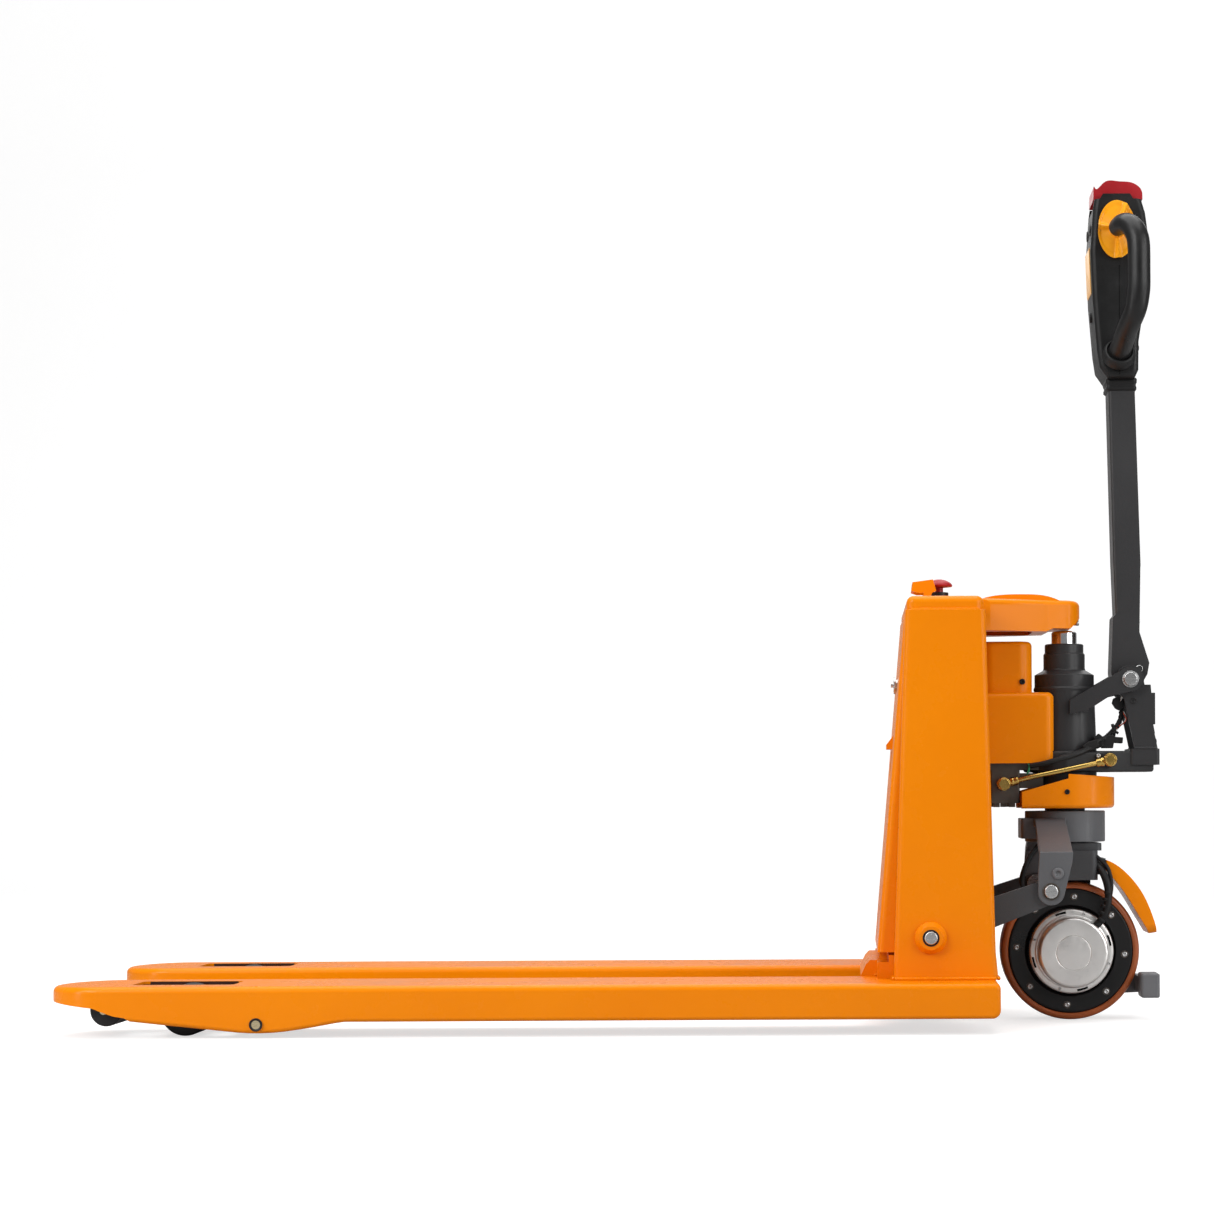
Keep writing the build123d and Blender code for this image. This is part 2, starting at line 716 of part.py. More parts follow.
def make_load_wheel(side):
    centre = side * FORK_Y
    with BuildPart() as wheel:
        with BuildSketch(y_plane(centre + 31)):
            with Locations(LOAD_AXLE):
                Circle(LOAD_RADIUS)
        extrude(amount=62)
        soften(wheel.edges().filter_by(GeomType.CIRCLE), 3)
        # ring-shaped recess in each face
        for y in both_sides(29.5, 32):
            with BuildSketch(y_plane(centre + y)):
                with Locations(LOAD_AXLE):
                    Circle(24)
                    Circle(13, mode=Mode.SUBTRACT)
            extrude(amount=2.5, mode=Mode.SUBTRACT)
        with BuildSketch(y_plane(centre + 40)):
            with Locations(LOAD_AXLE):
                Circle(LOAD_AXLE_RADIUS + PIN_FIT)
        extrude(amount=80, mode=Mode.SUBTRACT)
    return wheel.part


def make_entry_roller(side):
    centre = side * FORK_Y
    with BuildPart() as roller:
        with BuildSketch(y_plane(centre + 62)):
            with Locations(ENTRY_AXLE):
                Circle(ENTRY_RADIUS)
        extrude(amount=124)
        soften(roller.edges().filter_by(GeomType.CIRCLE), 3)
        with BuildSketch(y_plane(centre + 70)):
            with Locations(ENTRY_AXLE):
                Circle(ENTRY_PIN_RADIUS + PIN_FIT)
        extrude(amount=140, mode=Mode.SUBTRACT)
    return roller.part


for side_name, side in SIDES:
    save(make_load_wheel(side), f"load_wheel_{side_name}")
    save(make_entry_roller(side), f"entry_roller_{side_name}")

# ---------------------------------------------------------------- collar that does not steer
# one ear seen from the rear, (Y, Z): sloped shoulder, then an upright cheek for the rocker pin
COLLAR_EAR = [
    (30, 300), (62, 300), (166, 253), (166, 172), (158, 172), (158, 248), (58, 288), (30, 288),
    (30, 300),
]
with BuildPart() as collar_bracket:
    with BuildSketch(Plane.YZ.offset(604)):
        for side in (-1, 1):
            with BuildLine():
                Polyline(*[(side * y, z) for y, z in COLLAR_EAR])
            make_face()
    extrude(amount=58)
    # trim the ears to their side view
    with BuildSketch(y_plane(170)):
        with BuildLine():
            Polyline((611, 301), (655.7, 301), (658.9, 251), (657.8, 238), (646, 190))
            ThreePointArc((646, 190), (627, 176), (608.2, 192))
            Polyline((608.2, 192), (608.5, 220), (610.5, 250), (611, 301))
        make_face()
    extrude(amount=340, mode=Mode.INTERSECT)
    # ring around the spindle, and a block joining it to the ears
    with BuildSketch(Plane.XY.offset(265)):
        with Locations((STEER_X, 0)):
            Circle(60)
    extrude(amount=46)
    with BuildSketch(Plane.XY.offset(270)):
        with Locations((612.5, 0)):
            RectangleRounded(41, 84, 5)
    extrude(amount=30)
    with BuildSketch(Plane.XY.offset(260)):
        with Locations((STEER_X, 0)):
            Circle(SPINDLE_RADIUS + SLIDE_FIT)
    extrude(amount=60, mode=Mode.SUBTRACT)
    with BuildSketch(y_plane(180)):
        with Locations(ROCKER_PIN):
            Circle(ROCKER_PIN_RADIUS)
    extrude(amount=360, mode=Mode.SUBTRACT)
save(collar_bracket.part, "collar_bracket")

with BuildPart() as rocker_pins:
    for side in (-1, 1):
        pin_plane = Plane(origin=(ROCKER_PIN[0], side * 144, ROCKER_PIN[1]),
                          x_dir=(1, 0, 0), z_dir=(0, side, 0))
        with BuildSketch(pin_plane):
            Circle(ROCKER_PIN_RADIUS)
        extrude(amount=27)
        rim = rocker_pins.faces().sort_by(Axis.Y)[-1 if side > 0 else 0].edges()
        soften(rim, 2)
        # head, and the short neck that joins it to the pin
        with BuildSketch(pin_plane.offset(-4)):
            Circle(15)
        extrude(amount=3.8)
        with BuildSketch(pin_plane.offset(-0.4)):
            Circle(ROCKER_PIN_RADIUS)
        extrude(amount=1)
save(rocker_pins.part, "rocker_pins")

# ---------------------------------------------------------------- steered column
YOKE_BOTTOM = 252         # underside of the spindle
with BuildPart() as wheel_yoke:
    with BuildSketch(Plane.XY.offset(YOKE_BOTTOM)):
        with Locations((STEER_X, 0)):
            Circle(SPINDLE_RADIUS)
    extrude(amount=93)
    # two stacked blocks at the foot of the spindle
    with BuildSketch(Plane.XY.offset(YOKE_BOTTOM)):
        with Locations((676, 0)):
            RectangleRounded(70, 100, 8)
    extrude(amount=11)
    with BuildSketch(Plane.XY.offset(208.5)):
        with Locations((666, 0)):
            RectangleRounded(78, 110, 10)
    extrude(amount=43.5)
    # the single arm on the right that carries the axle
    with BuildSketch(y_plane(57)):
        with BuildLine():
            Polyline((628, YOKE_BOTTOM), (704, YOKE_BOTTOM), (700, 160), (690, 96))
            ThreePointArc((690, 96), (660, 72), (630, 96))
            Polyline((630, 96), (624, 160), (628, YOKE_BOTTOM))
        make_face()
    extrude(amount=12)
    with BuildSketch(y_plane(57)):
        with Locations(DRIVE_AXLE):
            Circle(AXLE_RADIUS)
    extrude(amount=12, mode=Mode.SUBTRACT)
    # fender foot
    with BuildSketch(Plane.XY.offset(216)):
        with Locations((710, 0)):
            RectangleRounded(16, 70, 3)
    extrude(amount=24)
save(wheel_yoke.part, "wheel_yoke")

with BuildPart() as wheel_axle:
    with BuildSketch(y_plane(66)):
        with Locations(DRIVE_AXLE):
            Circle(AXLE_RADIUS)
    extrude(amount=111)
    # hexagonal head, and a spacer inside the arm
    with BuildSketch(y_plane(71)):
        with Locations(DRIVE_AXLE):
            RegularPolygon(21, 6)
    extrude(amount=5)
    with BuildSketch(y_plane(43)):
        with Locations(DRIVE_AXLE):
            Circle(24)
            Circle(AXLE_RADIUS, mode=Mode.SUBTRACT)
    extrude(amount=6)
save(wheel_axle.part, "wheel_axle")

with BuildPart() as brake_unit:
    # discs stacked outwards on the left of the wheel: inner Y, radius, thickness
    for y, radius, thickness in ((-37, 62.5, 16), (-53, 60, 8), (-61, 51.5, 32)):
        with BuildSketch(y_plane(y)):
            with Locations(DRIVE_AXLE):
                Circle(radius)
        extrude(amount=thickness)
    soften(brake_unit.faces().sort_by(Axis.Y)[0].edges(), 3)
    # fine groove in the outer face
    with BuildSketch(y_plane(-92.3)):
        with Locations(DRIVE_AXLE):
            Circle(25.5)
            Circle(24.5, mode=Mode.SUBTRACT)
    extrude(amount=2, mode=Mode.SUBTRACT)
    with BuildSketch(y_plane(-30)):
        with Locations(DRIVE_AXLE):
            Circle(AXLE_RADIUS)
    extrude(amount=15, mode=Mode.SUBTRACT)
    # cable notch in the ring
    with BuildSketch(y_plane(-45)):
        with Locations(shift(DRIVE_AXLE, 43, 43)):
            Rectangle(22, 26, rotation=45)
    extrude(amount=16, mode=Mode.SUBTRACT)
save(brake_unit.part, "brake_unit")

# curved sheet behind the wheel, drawn along its outside and back along its inside
with BuildPart() as wheel_fender:
    with BuildSketch(y_plane(48)):
        with BuildLine():
            Spline((718, 238), (748, 218), (772, 187), (786, 155), (793, 130),
                   tangents=((1, -0.35), (0.2, -1)))
            Polyline((793, 130), (781, 128))
            Spline((781, 128), (769, 149), (753, 176), (737, 199), (718, 222),
                   tangents=((-0.45, 1), (-0.6, 0.8)))
            Line((718, 222), (718, 238))
        make_face()
    extrude(amount=96)
    corners = [
        edge for edge in wheel_fender.edges() if edge.center().X > 782 and edge.length < 14
    ]
    soften(corners, 14)
save(wheel_fender.part, "wheel_fender")

GUARD_PLATE = [
    (645, 112), (645, 70), (702, 31), (777, 34), (777, 62), (712, 62), (686, 82), (686, 112),
    (645, 112),
]
with BuildPart() as foot_guard:
    # block behind the wheel, left of the middle
    with BuildSketch(Plane.XY.offset(34)):
        with Locations((781, -37)):
            RectangleRounded(28, 50, 5)
    extrude(amount=36)
    soften(foot_guard.faces().sort_by(Axis.Z)[-1].edges()
           + foot_guard.faces().sort_by(Axis.Z)[0].edges(), 3)
    # side plate held by the axle, right of the wheel
    with BuildSketch(y_plane(66)):
        with BuildLine():
            Polyline(*GUARD_PLATE)
        make_face()
    extrude(amount=9)
    # cross plate behind the wheel, from the side plate to the block
    with BuildSketch(Plane.XY.offset(38)):
        with Locations((773, 13)):
            Rectangle(8, 106)
    extrude(amount=24)
    with BuildSketch(y_plane(70)):
        with Locations(DRIVE_AXLE):
            Circle(AXLE_RADIUS)
    extrude(amount=20, mode=Mode.SUBTRACT)
save(foot_guard.part, "foot_guard")

# ---------------------------------------------------------------- drive wheel
TYRE_HALF, RIM_HALF = 35, 34

with BuildPart() as drive_tyre:
    with BuildSketch(y_plane(TYRE_HALF)):
        with Locations(DRIVE_AXLE):
            Circle(DRIVE_RADIUS)
    extrude(amount=2 * TYRE_HALF)
    soften(drive_tyre.edges().filter_by(GeomType.CIRCLE), 6)
    with BuildSketch(y_plane(40)):
        with Locations(DRIVE_AXLE):
            Circle(RIM_RADIUS)
    extrude(amount=80, mode=Mode.SUBTRACT)
save(drive_tyre.part, "drive_tyre")

with BuildPart() as drive_rim:
    with BuildSketch(y_plane(RIM_HALF)):
        with Locations(DRIVE_AXLE):
            Circle(RIM_RADIUS)
    extrude(amount=2 * RIM_HALF)
    soften(drive_rim.edges().filter_by(GeomType.CIRCLE), 2)
    # round recess in each face
    for y in (-31, 36):
        with BuildSketch(y_plane(y)):
            with Locations(DRIVE_AXLE):
                Circle(66)
        extrude(amount=5, mode=Mode.SUBTRACT)
    with BuildSketch(y_plane(40)):
        with Locations(DRIVE_AXLE):
            Circle(AXLE_RADIUS + SLIDE_FIT)
    extrude(amount=80, mode=Mode.SUBTRACT)
save(drive_rim.part, "drive_rim")

# eight screw heads with hexagon sockets on the rim's left face
SCREW_CIRCLE_RADIUS = 80.5
with BuildPart() as rim_screws:
    rim_face = Plane(origin=(DRIVE_AXLE[0], -RIM_HALF, DRIVE_AXLE[1]),
                     x_dir=(1, 0, 0), z_dir=(0, -1, 0))
    with BuildSketch(rim_face):
        with PolarLocations(SCREW_CIRCLE_RADIUS, 8, start_angle=41):
            Circle(4.4)
    extrude(amount=2.2)
    with BuildSketch(rim_face.offset(1)):
        with PolarLocations(SCREW_CIRCLE_RADIUS, 8, start_angle=41):
            RegularPolygon(2.3, 6)
    extrude(amount=2, mode=Mode.SUBTRACT)
save(rim_screws.part, "rim_screws")

# ---------------------------------------------------------------- hydraulic cylinder and piston
CYLINDER_FOOT = 345       # Z of the underside
CYLINDER_RADIUS = 48
BORE_RADIUS = 19
ROD_RADIUS = BORE_RADIUS - SLIDE_FIT

# half section: radius, Z
CYLINDER_PROFILE = [
    (0, CYLINDER_FOOT), (CYLINDER_RADIUS, CYLINDER_FOOT), (CYLINDER_RADIUS, 400),
    (45, 489), (46, 491), (46, 494), (44.5, 496), (44.5, 514), (32, 521), (31, 524), (31, 545),
    (29, 547), (29, 559), (27.5, 560.5), (BORE_RADIUS, 560.5), (BORE_RADIUS, 408), (0, 408),
    (0, CYLINDER_FOOT),
]
with BuildPart() as cylinder_body:
    with BuildSketch(Plane.XZ):
        with BuildLine():
            Polyline(*[(STEER_X + radius, z) for radius, z in CYLINDER_PROFILE])
        make_face()
    revolve(axis=Axis((STEER_X, 0, 0), (0, 0, 1)))
save(cylinder_body.part, "cylinder_body")

with BuildPart() as piston_rod:
    with BuildSketch(Plane.XZ):
        with BuildLine():
            rod_x = STEER_X + ROD_RADIUS
            Polyline((STEER_X, 412), (rod_x, 412), (rod_x, 576))
            Spline((rod_x, 576), (STEER_X + 14, 579.8), (STEER_X, 581),
                   tangents=((-0.1, 1), (-1, 0)))
            Line((STEER_X, 581), (STEER_X, 412))
        make_face()
    revolve(axis=Axis((STEER_X, 0, 0), (0, 0, 1)))
save(piston_rod.part, "piston_rod")

# ---------------------------------------------------------------- pump set
PUMP_X = 568
COVER_X, COVER_TOP_X = 585, 569.8   # centres of the cover's wide foot and narrow top
VALVE_PORT = (565, 351.5)
OIL_PORT = (722, 386.5)

with BuildPart() as pump_motor:
    with BuildSketch(Plane.XY.offset(401)):
        with Locations((PUMP_X, 0)):
            Circle(34)
    extrude(amount=149)
    soften(pump_motor.faces().sort_by(Axis.Z)[-1].edges(), 6)
    with BuildSketch(Plane.XY.offset(384)):
        with Locations((PUMP_X, 0)):
            Circle(20)
    extrude(amount=17)
save(pump_motor.part, "pump_motor")

with BuildPart() as pump_cover:
    # foot, then top: X, bottom Z, length, width, corner radius, height, edge rounding
    for x, bottom, length, width, corner, height, rounding in (
        (COVER_X, 382, 110, 132, 14, 105, 9),
        (COVER_TOP_X, 470, 79.6, 100, 22, 93, 7),
    ):
        with BuildSketch(Plane.XY.offset(bottom)):
            with Locations((x, 0)):
                RectangleRounded(length, width, corner)
        extrude(amount=height)
        soften(pump_cover.faces().sort_by(Axis.Z)[-1].edges(), rounding)
    # hollow both, 3 mm walls
    with BuildSketch(Plane.XY.offset(380)):
        with Locations((COVER_X, 0)):
            RectangleRounded(104, 126, 11)
    extrude(amount=104, mode=Mode.SUBTRACT)
    with BuildSketch(Plane.XY.offset(480)):
        with Locations((COVER_TOP_X, 0)):
            RectangleRounded(73.6, 94, 19)
    extrude(amount=80, mode=Mode.SUBTRACT)
    # clear the cylinder, and more widely the steering base at its foot
    for radius, height in ((50, 200), (62.5, 20.5)):
        with BuildSketch(Plane.XY.offset(380)):
            with Locations((STEER_X, 0)):
                Circle(radius)
        extrude(amount=height, mode=Mode.SUBTRACT)
save(pump_cover.part, "pump_cover")

with BuildPart() as valve_block:
    with BuildSketch(Plane.XY.offset(323)):
        with Locations((PUMP_X, 0)):
            RectangleRounded(44, 92, 3)
    extrude(amount=61)
    # small blocks underneath
    with BuildSketch(Plane.XY.offset(317)):
        with Locations((556, -30), (579, -30), (556, 30), (579, 30), (PUMP_X, 0)):
            Rectangle(9, 16)
    extrude(amount=6)
    # top plate, cut round at the steering base
    with BuildSketch(Plane.XY.offset(372)):
        with Locations((588, 0)):
            Rectangle(84, 92)
    extrude(amount=12)
    with BuildSketch(Plane.XY.offset(340)):
        with Locations((STEER_X, 0)):
            Circle(62)
    extrude(amount=60, mode=Mode.SUBTRACT)
    # oil tank against the foot of the cylinder
    with BuildSketch(Plane.XY.offset(CYLINDER_FOOT)):
        with Locations((606, 0)):
            Rectangle(38, 88)
    extrude(amount=22.5)
    with BuildSketch(Plane.XY.offset(342)):
        with Locations((STEER_X, 0)):
            Circle(CYLINDER_RADIUS + 0.6)
    extrude(amount=28, mode=Mode.SUBTRACT)
save(valve_block.part, "valve_block")

# steel pipe with a banjo at each end
with BuildPart() as oil_pipe:
    with BuildLine() as run:
        Spline((573, -64, 353.5), (620, -72, 364.5), (668, -72, 374.5), (714, -64, 384.5))
    with BuildSketch(Plane(origin=run.line @ 0, z_dir=run.line % 0)):
        Circle(3.6)
    sweep()
    # port, Y where the bolt starts, its distance to the ring, and whether its head is hexagonal
    for (x, z), y, ring, hexagonal in ((VALVE_PORT, -46, 10, True), (OIL_PORT, -53.5, 4, False)):
        port_plane = Plane(origin=(x, y, z), x_dir=(1, 0, 0), z_dir=(0, -1, 0))
        with BuildSketch(port_plane.offset(ring)):
            Circle(10)
        extrude(amount=16)
        with BuildSketch(port_plane):
            Circle(6)
        extrude(amount=28)
        with BuildSketch(port_plane.offset(ring + 16)):
            if hexagonal:
                RegularPolygon(9.4, 6)
            else:
                Circle(9.2)
        extrude(amount=5)
save(oil_pipe.part, "oil_pipe")

# ---------------------------------------------------------------- steering guard and tiller base
SLEW_OUT = 74             # outer radius and half width of the guard
SLEW_IN = SLEW_OUT - 3
# what is cut off the top, leaving it sloping down towards the chassis
SLEW_TOP_CUT = [
    (580, 336.5), (655, 358), (660, 359), (660, 366), (740, 360.5), (740, 380), (580, 380),
    (580, 336.5),
]
with BuildPart() as slew_guard:
    with BuildSketch(Plane.XY.offset(315)):
        with BuildLine():
            Polyline((STEER_X, SLEW_OUT), (591, SLEW_OUT), (591, -SLEW_OUT), (STEER_X, -SLEW_OUT))
            ThreePointArc((STEER_X, -SLEW_OUT), (STEER_X + SLEW_OUT, 0), (STEER_X, SLEW_OUT))
        make_face()
    extrude(amount=51)
    low = [
        edge for edge in slew_guard.faces().sort_by(Axis.Z)[0].edges() if edge.center().X > 600
    ]
    soften(low, 6)
    # hollow above the floor and open to the front
    with BuildSketch(Plane.XY.offset(318)):
        with BuildLine():
            Polyline((STEER_X, SLEW_IN), (580, SLEW_IN), (580, -SLEW_IN), (STEER_X, -SLEW_IN))
            ThreePointArc((STEER_X, -SLEW_IN), (STEER_X + SLEW_IN, 0), (STEER_X, SLEW_IN))
        make_face()
    extrude(amount=60, mode=Mode.SUBTRACT)
    # opening for the cylinder and the valve block
    with BuildSketch(Plane.XY.offset(310)):
        with Locations((STEER_X, 0)):
            Circle(CYLINDER_RADIUS)
        with Locations((610, 0)):
            Rectangle(100, 96)
    extrude(amount=60, mode=Mode.SUBTRACT)
    with BuildSketch(y_plane(90)):
        with BuildLine():
            Polyline(*SLEW_TOP_CUT)
        make_face()
    extrude(amount=180, mode=Mode.SUBTRACT)
save(slew_guard.part, "slew_guard")

SPRING_PIN_RADIUS = 4
with BuildPart() as steer_base:
    # plan, (X, Y)
    with BuildSketch(Plane.XY.offset(368.5)):
        with BuildLine():
            Polyline((STEER_X, 62), (740, 44), (789, 42), (789, -42), (740, -44), (STEER_X, -62))
            ThreePointArc((STEER_X, -62), (STEER_X - 62, 0), (STEER_X, 62))
        make_face()
    extrude(amount=31.5)
    soften(steer_base.faces().sort_by(Axis.Z)[-1].edges()
           + steer_base.faces().sort_by(Axis.Z)[0].edges(), 4)
    # block under the tiller yoke
    with BuildSketch(Plane.XY.offset(379)):
        with Locations((776, 0)):
            RectangleRounded(44, 92, 5)
    extrude(amount=24)
    with BuildSketch(Plane.XY.offset(360)):
        with Locations((STEER_X, 0)):
            Circle(CYLINDER_RADIUS)
    extrude(amount=60, mode=Mode.SUBTRACT)
    # gas spring foot: lugs, their holes and the pin
    for y in both_sides(6, 12):
        with BuildSketch(y_plane(y)):
            with BuildLine():
                Polyline((779, 400), (779, 414))
                ThreePointArc((779, 414), (789, 422), (797, 414))
                Polyline((797, 414), (797, 400), (779, 400))
            make_face()
        extrude(amount=6)
    with BuildSketch(y_plane(20)):
        with Locations(SPRING_FOOT):
            Circle(SPRING_PIN_RADIUS)
    extrude(amount=40, mode=Mode.SUBTRACT)
    with BuildSketch(y_plane(12)):
        with Locations(SPRING_FOOT):
            Circle(SPRING_PIN_RADIUS)
    extrude(amount=24)
    # the oil port boss
    with BuildSketch(y_plane(-44)):
        with Locations(OIL_PORT):
            Circle(12)
    extrude(amount=9.5)
save(steer_base.part, "steer_base")

YOKE_FLANGE = [
    (773, 498), (785, 498), (786, 486), (791.5, 486), (791.5, 439), (784, 439), (773, 498),
]
with BuildPart() as tiller_yoke:
    for y in both_sides(37, 45):
        with BuildSketch(y_plane(y)):
            with BuildLine():
                Polyline((761, 403), (795, 403), (775, 503))
                ThreePointArc((775, 503), (756, 527), (734, 510))
                Polyline((734, 510), (737, 486), (745, 478), (761, 403))
            make_face()
            with Locations(TILLER_PIVOT):
                Circle(TILLER_PIN_RADIUS, mode=Mode.SUBTRACT)
            with Locations((759, 474)):
                Circle(4, mode=Mode.SUBTRACT)
        extrude(amount=8)
    # inward flanges along the rear edges, beside the gas spring
    for y in both_sides(34.5, 45):
        with BuildSketch(y_plane(y)):
            with BuildLine():
                Polyline(*YOKE_FLANGE)
            make_face()
        extrude(amount=10.5)
save(tiller_yoke.part, "tiller_yoke")

# lower edge of a support arm, from the pivot to the cylinder
SUPPORT_LOWER = [
    (757, 488.3), (722.4, 480.4), (701.6, 467.1), (679.3, 457.5), (664, 455), (664, 475),
    (669.9, 478.5),
]
with BuildPart() as support_arms:
    # two arms, each with a pad hollowed to sit against the cylinder
    for y in both_sides(48, 56):
        with BuildSketch(y_plane(y)):
            with BuildLine():
                Polyline((669.9, 478.5), (744.5, 521.3))
                ThreePointArc((744.5, 521.3), (771.5, 502), (757, 488.3))
                Polyline(*SUPPORT_LOWER)
            make_face()
            with Locations(TILLER_PIVOT):
                Circle(TILLER_PIN_RADIUS, mode=Mode.SUBTRACT)
        extrude(amount=8)
    with BuildSketch(Plane.XY.offset(458)):
        with Locations((678, 47), (678, -47)):
            Rectangle(28, 18)
        with Locations((STEER_X, 0)):
            Circle(46.9, mode=Mode.SUBTRACT)
    extrude(amount=14)
save(support_arms.part, "support_arms")

with BuildPart() as tiller_pivot_pin:
    with BuildSketch(y_plane(60)):
        with Locations(TILLER_PIVOT):
            Circle(TILLER_PIN_RADIUS)
    extrude(amount=120)
    soften(tiller_pivot_pin.edges().filter_by(GeomType.CIRCLE), 1.5)
    # turned down in the middle to clear the gas spring's eye
    with BuildSketch(y_plane(9)):
        with Locations(TILLER_PIVOT):
            Circle(12)
            Circle(6.5, mode=Mode.SUBTRACT)
    extrude(amount=18, mode=Mode.SUBTRACT)
save(tiller_pivot_pin.part, "tiller_pivot_pin")

# ---------------------------------------------------------------- tiller
ARM_HALF = 28             # half width of the tiller arm
ARM_OUTLINE = [
    (725.7, 952), (764.7, 952), (772.5, 682), (770.5, 577), (785, 531), (782, 514), (770, 494),
    (754, 489), (740, 493), (729, 508), (728, 518), (731, 599), (735, 604), (732, 682),
    (725.7, 952),
]
# runs out past the rear, so that the arm is an open channel
ARM_HOLLOW = [
    (729.8, 957), (800, 957), (800, 480), (732, 480), (732, 518), (735, 598), (739, 604),
    (736, 682), (729.8, 957),
]
with BuildPart() as tiller_arm:
    with BuildSketch(y_plane(ARM_HALF)):
        with BuildLine():
            Polyline(*ARM_OUTLINE)
        make_face()
    extrude(amount=2 * ARM_HALF)
    front = [
        edge for edge in tiller_arm.edges() if edge.length > 250 and edge.center().X < 738
    ]
    soften(front, 5)
    with BuildSketch(y_plane(ARM_HALF - 4)):
        with BuildLine():
            Polyline(*ARM_HOLLOW)
        make_face()
    extrude(amount=2 * (ARM_HALF - 4), mode=Mode.SUBTRACT)
    # bushes that space the arm inside the yoke, and the spring pin
    for y in both_sides(ARM_HALF, 36.8):
        with BuildSketch(y_plane(y)):
            with Locations(TILLER_PIVOT):
                Circle(16)
        extrude(amount=8.8)
    with BuildSketch(y_plane(40)):
        with Locations(TILLER_PIVOT):
            Circle(TILLER_PIN_RADIUS + PIN_FIT)
    extrude(amount=80, mode=Mode.SUBTRACT)
    with BuildSketch(y_plane(33)):
        with Locations(SPRING_EAR):
            Circle(4.5)
    extrude(amount=66)
save(tiller_arm.part, "tiller_arm")

# ---------------------------------------------------------------- control head
HEAD_HALF = 48
SEAM_X = 741.0            # where the shells meet
CHEEK_IN = 39             # inner face of the cheeks beside the belly button
# points of the front face, on which the buttons sit
FACE_TOP, FACE_MIDDLE, FACE_LOW = (703, 1205), (698.8, 1143), (701.8, 1069)
HEAD_OUTLINE = [
    (711.8, 970), (723.5, 953), (763.5, 953), (769.5, 966), (770, 1008), (778, 1060), (784, 1120),
    (785, 1165), (780.5, 1199), (774.5, 1219), (705, 1219), FACE_TOP, FACE_MIDDLE, FACE_LOW,
    (708, 995),
]
# buttons on the front face: name -> (Y, Z)
BUTTONS = {"raise_button": (-22, 1176), "lower_button": (22, 1176), "horn_button": (0, 1050)}

with BuildPart() as head_solid:
    with BuildSketch(y_plane(HEAD_HALF)):
        with BuildLine():
            Polyline(*HEAD_OUTLINE, HEAD_OUTLINE[0])
        make_face()
    extrude(amount=2 * HEAD_HALF)
    rim = (head_solid.faces().sort_by(Axis.Y)[0].edges()
           + head_solid.faces().sort_by(Axis.Y)[-1].edges())
    soften([edge for edge in rim if edge.center().Z < 1210], 9)
    # hollow for the arm, the switches and the wiring
    with BuildSketch(Plane.XY.offset(1199)):
        with Locations((741.5, 0)):
            Rectangle(69, 80)
    with BuildSketch(Plane.XY.offset(1065)):
        with Locations((740.5, 0)):
            Rectangle(68, 80)
    loft(mode=Mode.SUBTRACT)
    with BuildSketch(Plane.XY.offset(1070)):
        with Locations((740.5, 0)):
            Rectangle(68, 80)
    with BuildSketch(Plane.XY.offset(975)):
        with Locations((739, 0)):
            Rectangle(48, 78)
    loft(mode=Mode.SUBTRACT)
    with BuildSketch(y_plane(ARM_HALF)):
        with BuildLine():
            Polyline((729, 930), (760.5, 930), (760.5, 985), (726, 985), (729, 930))
        make_face()
    extrude(amount=2 * ARM_HALF, mode=Mode.SUBTRACT)
    # seat of the belly button between two cheeks, with the slot for its stem
    with BuildSketch(Plane.XY.offset(1204)):
        with Locations((SEAM_X, 0)):
            Rectangle(120, 2 * CHEEK_IN)
    extrude(amount=30, mode=Mode.SUBTRACT)
    with BuildSketch(Plane.XY.offset(1190)):
        with Locations((SEAM_X, 0)):
            Rectangle(34, 44)
    extrude(amount=30, mode=Mode.SUBTRACT)
    # cheeks stand higher in the middle, beside the belly button
    for y in both_sides(CHEEK_IN, HEAD_HALF):
        with BuildSketch(y_plane(y)):
            with BuildLine():
                Polyline((711, 1216), (717.5, 1226.5), (757.5, 1226.5), (764, 1216), (711, 1216))
            make_face()
        extrude(amount=HEAD_HALF - CHEEK_IN)
    # throttle shaft hole and button holes
    with BuildSketch(y_plane(60)):
        with Locations(THROTTLE):
            Circle(THROTTLE_RADIUS + PIN_FIT)
    extrude(amount=120, mode=Mode.SUBTRACT)
    with BuildSketch(Plane.YZ.offset(688)):
        with Locations(*BUTTONS.values()):
            Circle(BUTTON_RADIUS + PIN_FIT)
    extrude(amount=40, mode=Mode.SUBTRACT)

# the head splits into a front and a rear shell, 0.1 mm apart: name, centre X of what is cut away
for shell_name, cut_x in (
    ("head_front_shell", SEAM_X + 100), ("head_rear_shell", SEAM_X - 99.9),
):
    with BuildPart() as shell:
        add(head_solid.part)
        with BuildSketch(Plane.XY.offset(900)):
            with Locations((cut_x, 0)):
                Rectangle(200, 200)
        extrude(amount=400, mode=Mode.SUBTRACT)
    save(shell.part, shell_name)

# closed-loop hand grips, one each side
with BuildPart() as hand_grips:
    for side in (-1, 1):
        with BuildLine() as loop:
            FilletPolyline((THROTTLE[0], side * 86, THROTTLE[1]), (758, side * 128, 1171),
                           (762, side * 128, 1030), (738, side * 38, 986), radius=30)
        with BuildSketch(Plane(origin=loop.line @ 0, z_dir=loop.line % 0)):
            Circle(13)
        sweep()
    # flush with the head's sides, with a bearing for the throttle shaft's ends
    with BuildSketch(y_plane(HEAD_HALF + 0.05)):
        with Locations((735, 1050)):
            Rectangle(200, 400)
    extrude(amount=2 * (HEAD_HALF + 0.05), mode=Mode.SUBTRACT)
    with BuildSketch(y_plane(93)):
        with Locations(THROTTLE):
            Circle(THROTTLE_RADIUS + SLIDE_FIT)
    extrude(amount=186, mode=Mode.SUBTRACT)
save(hand_grips.part, "hand_grips")

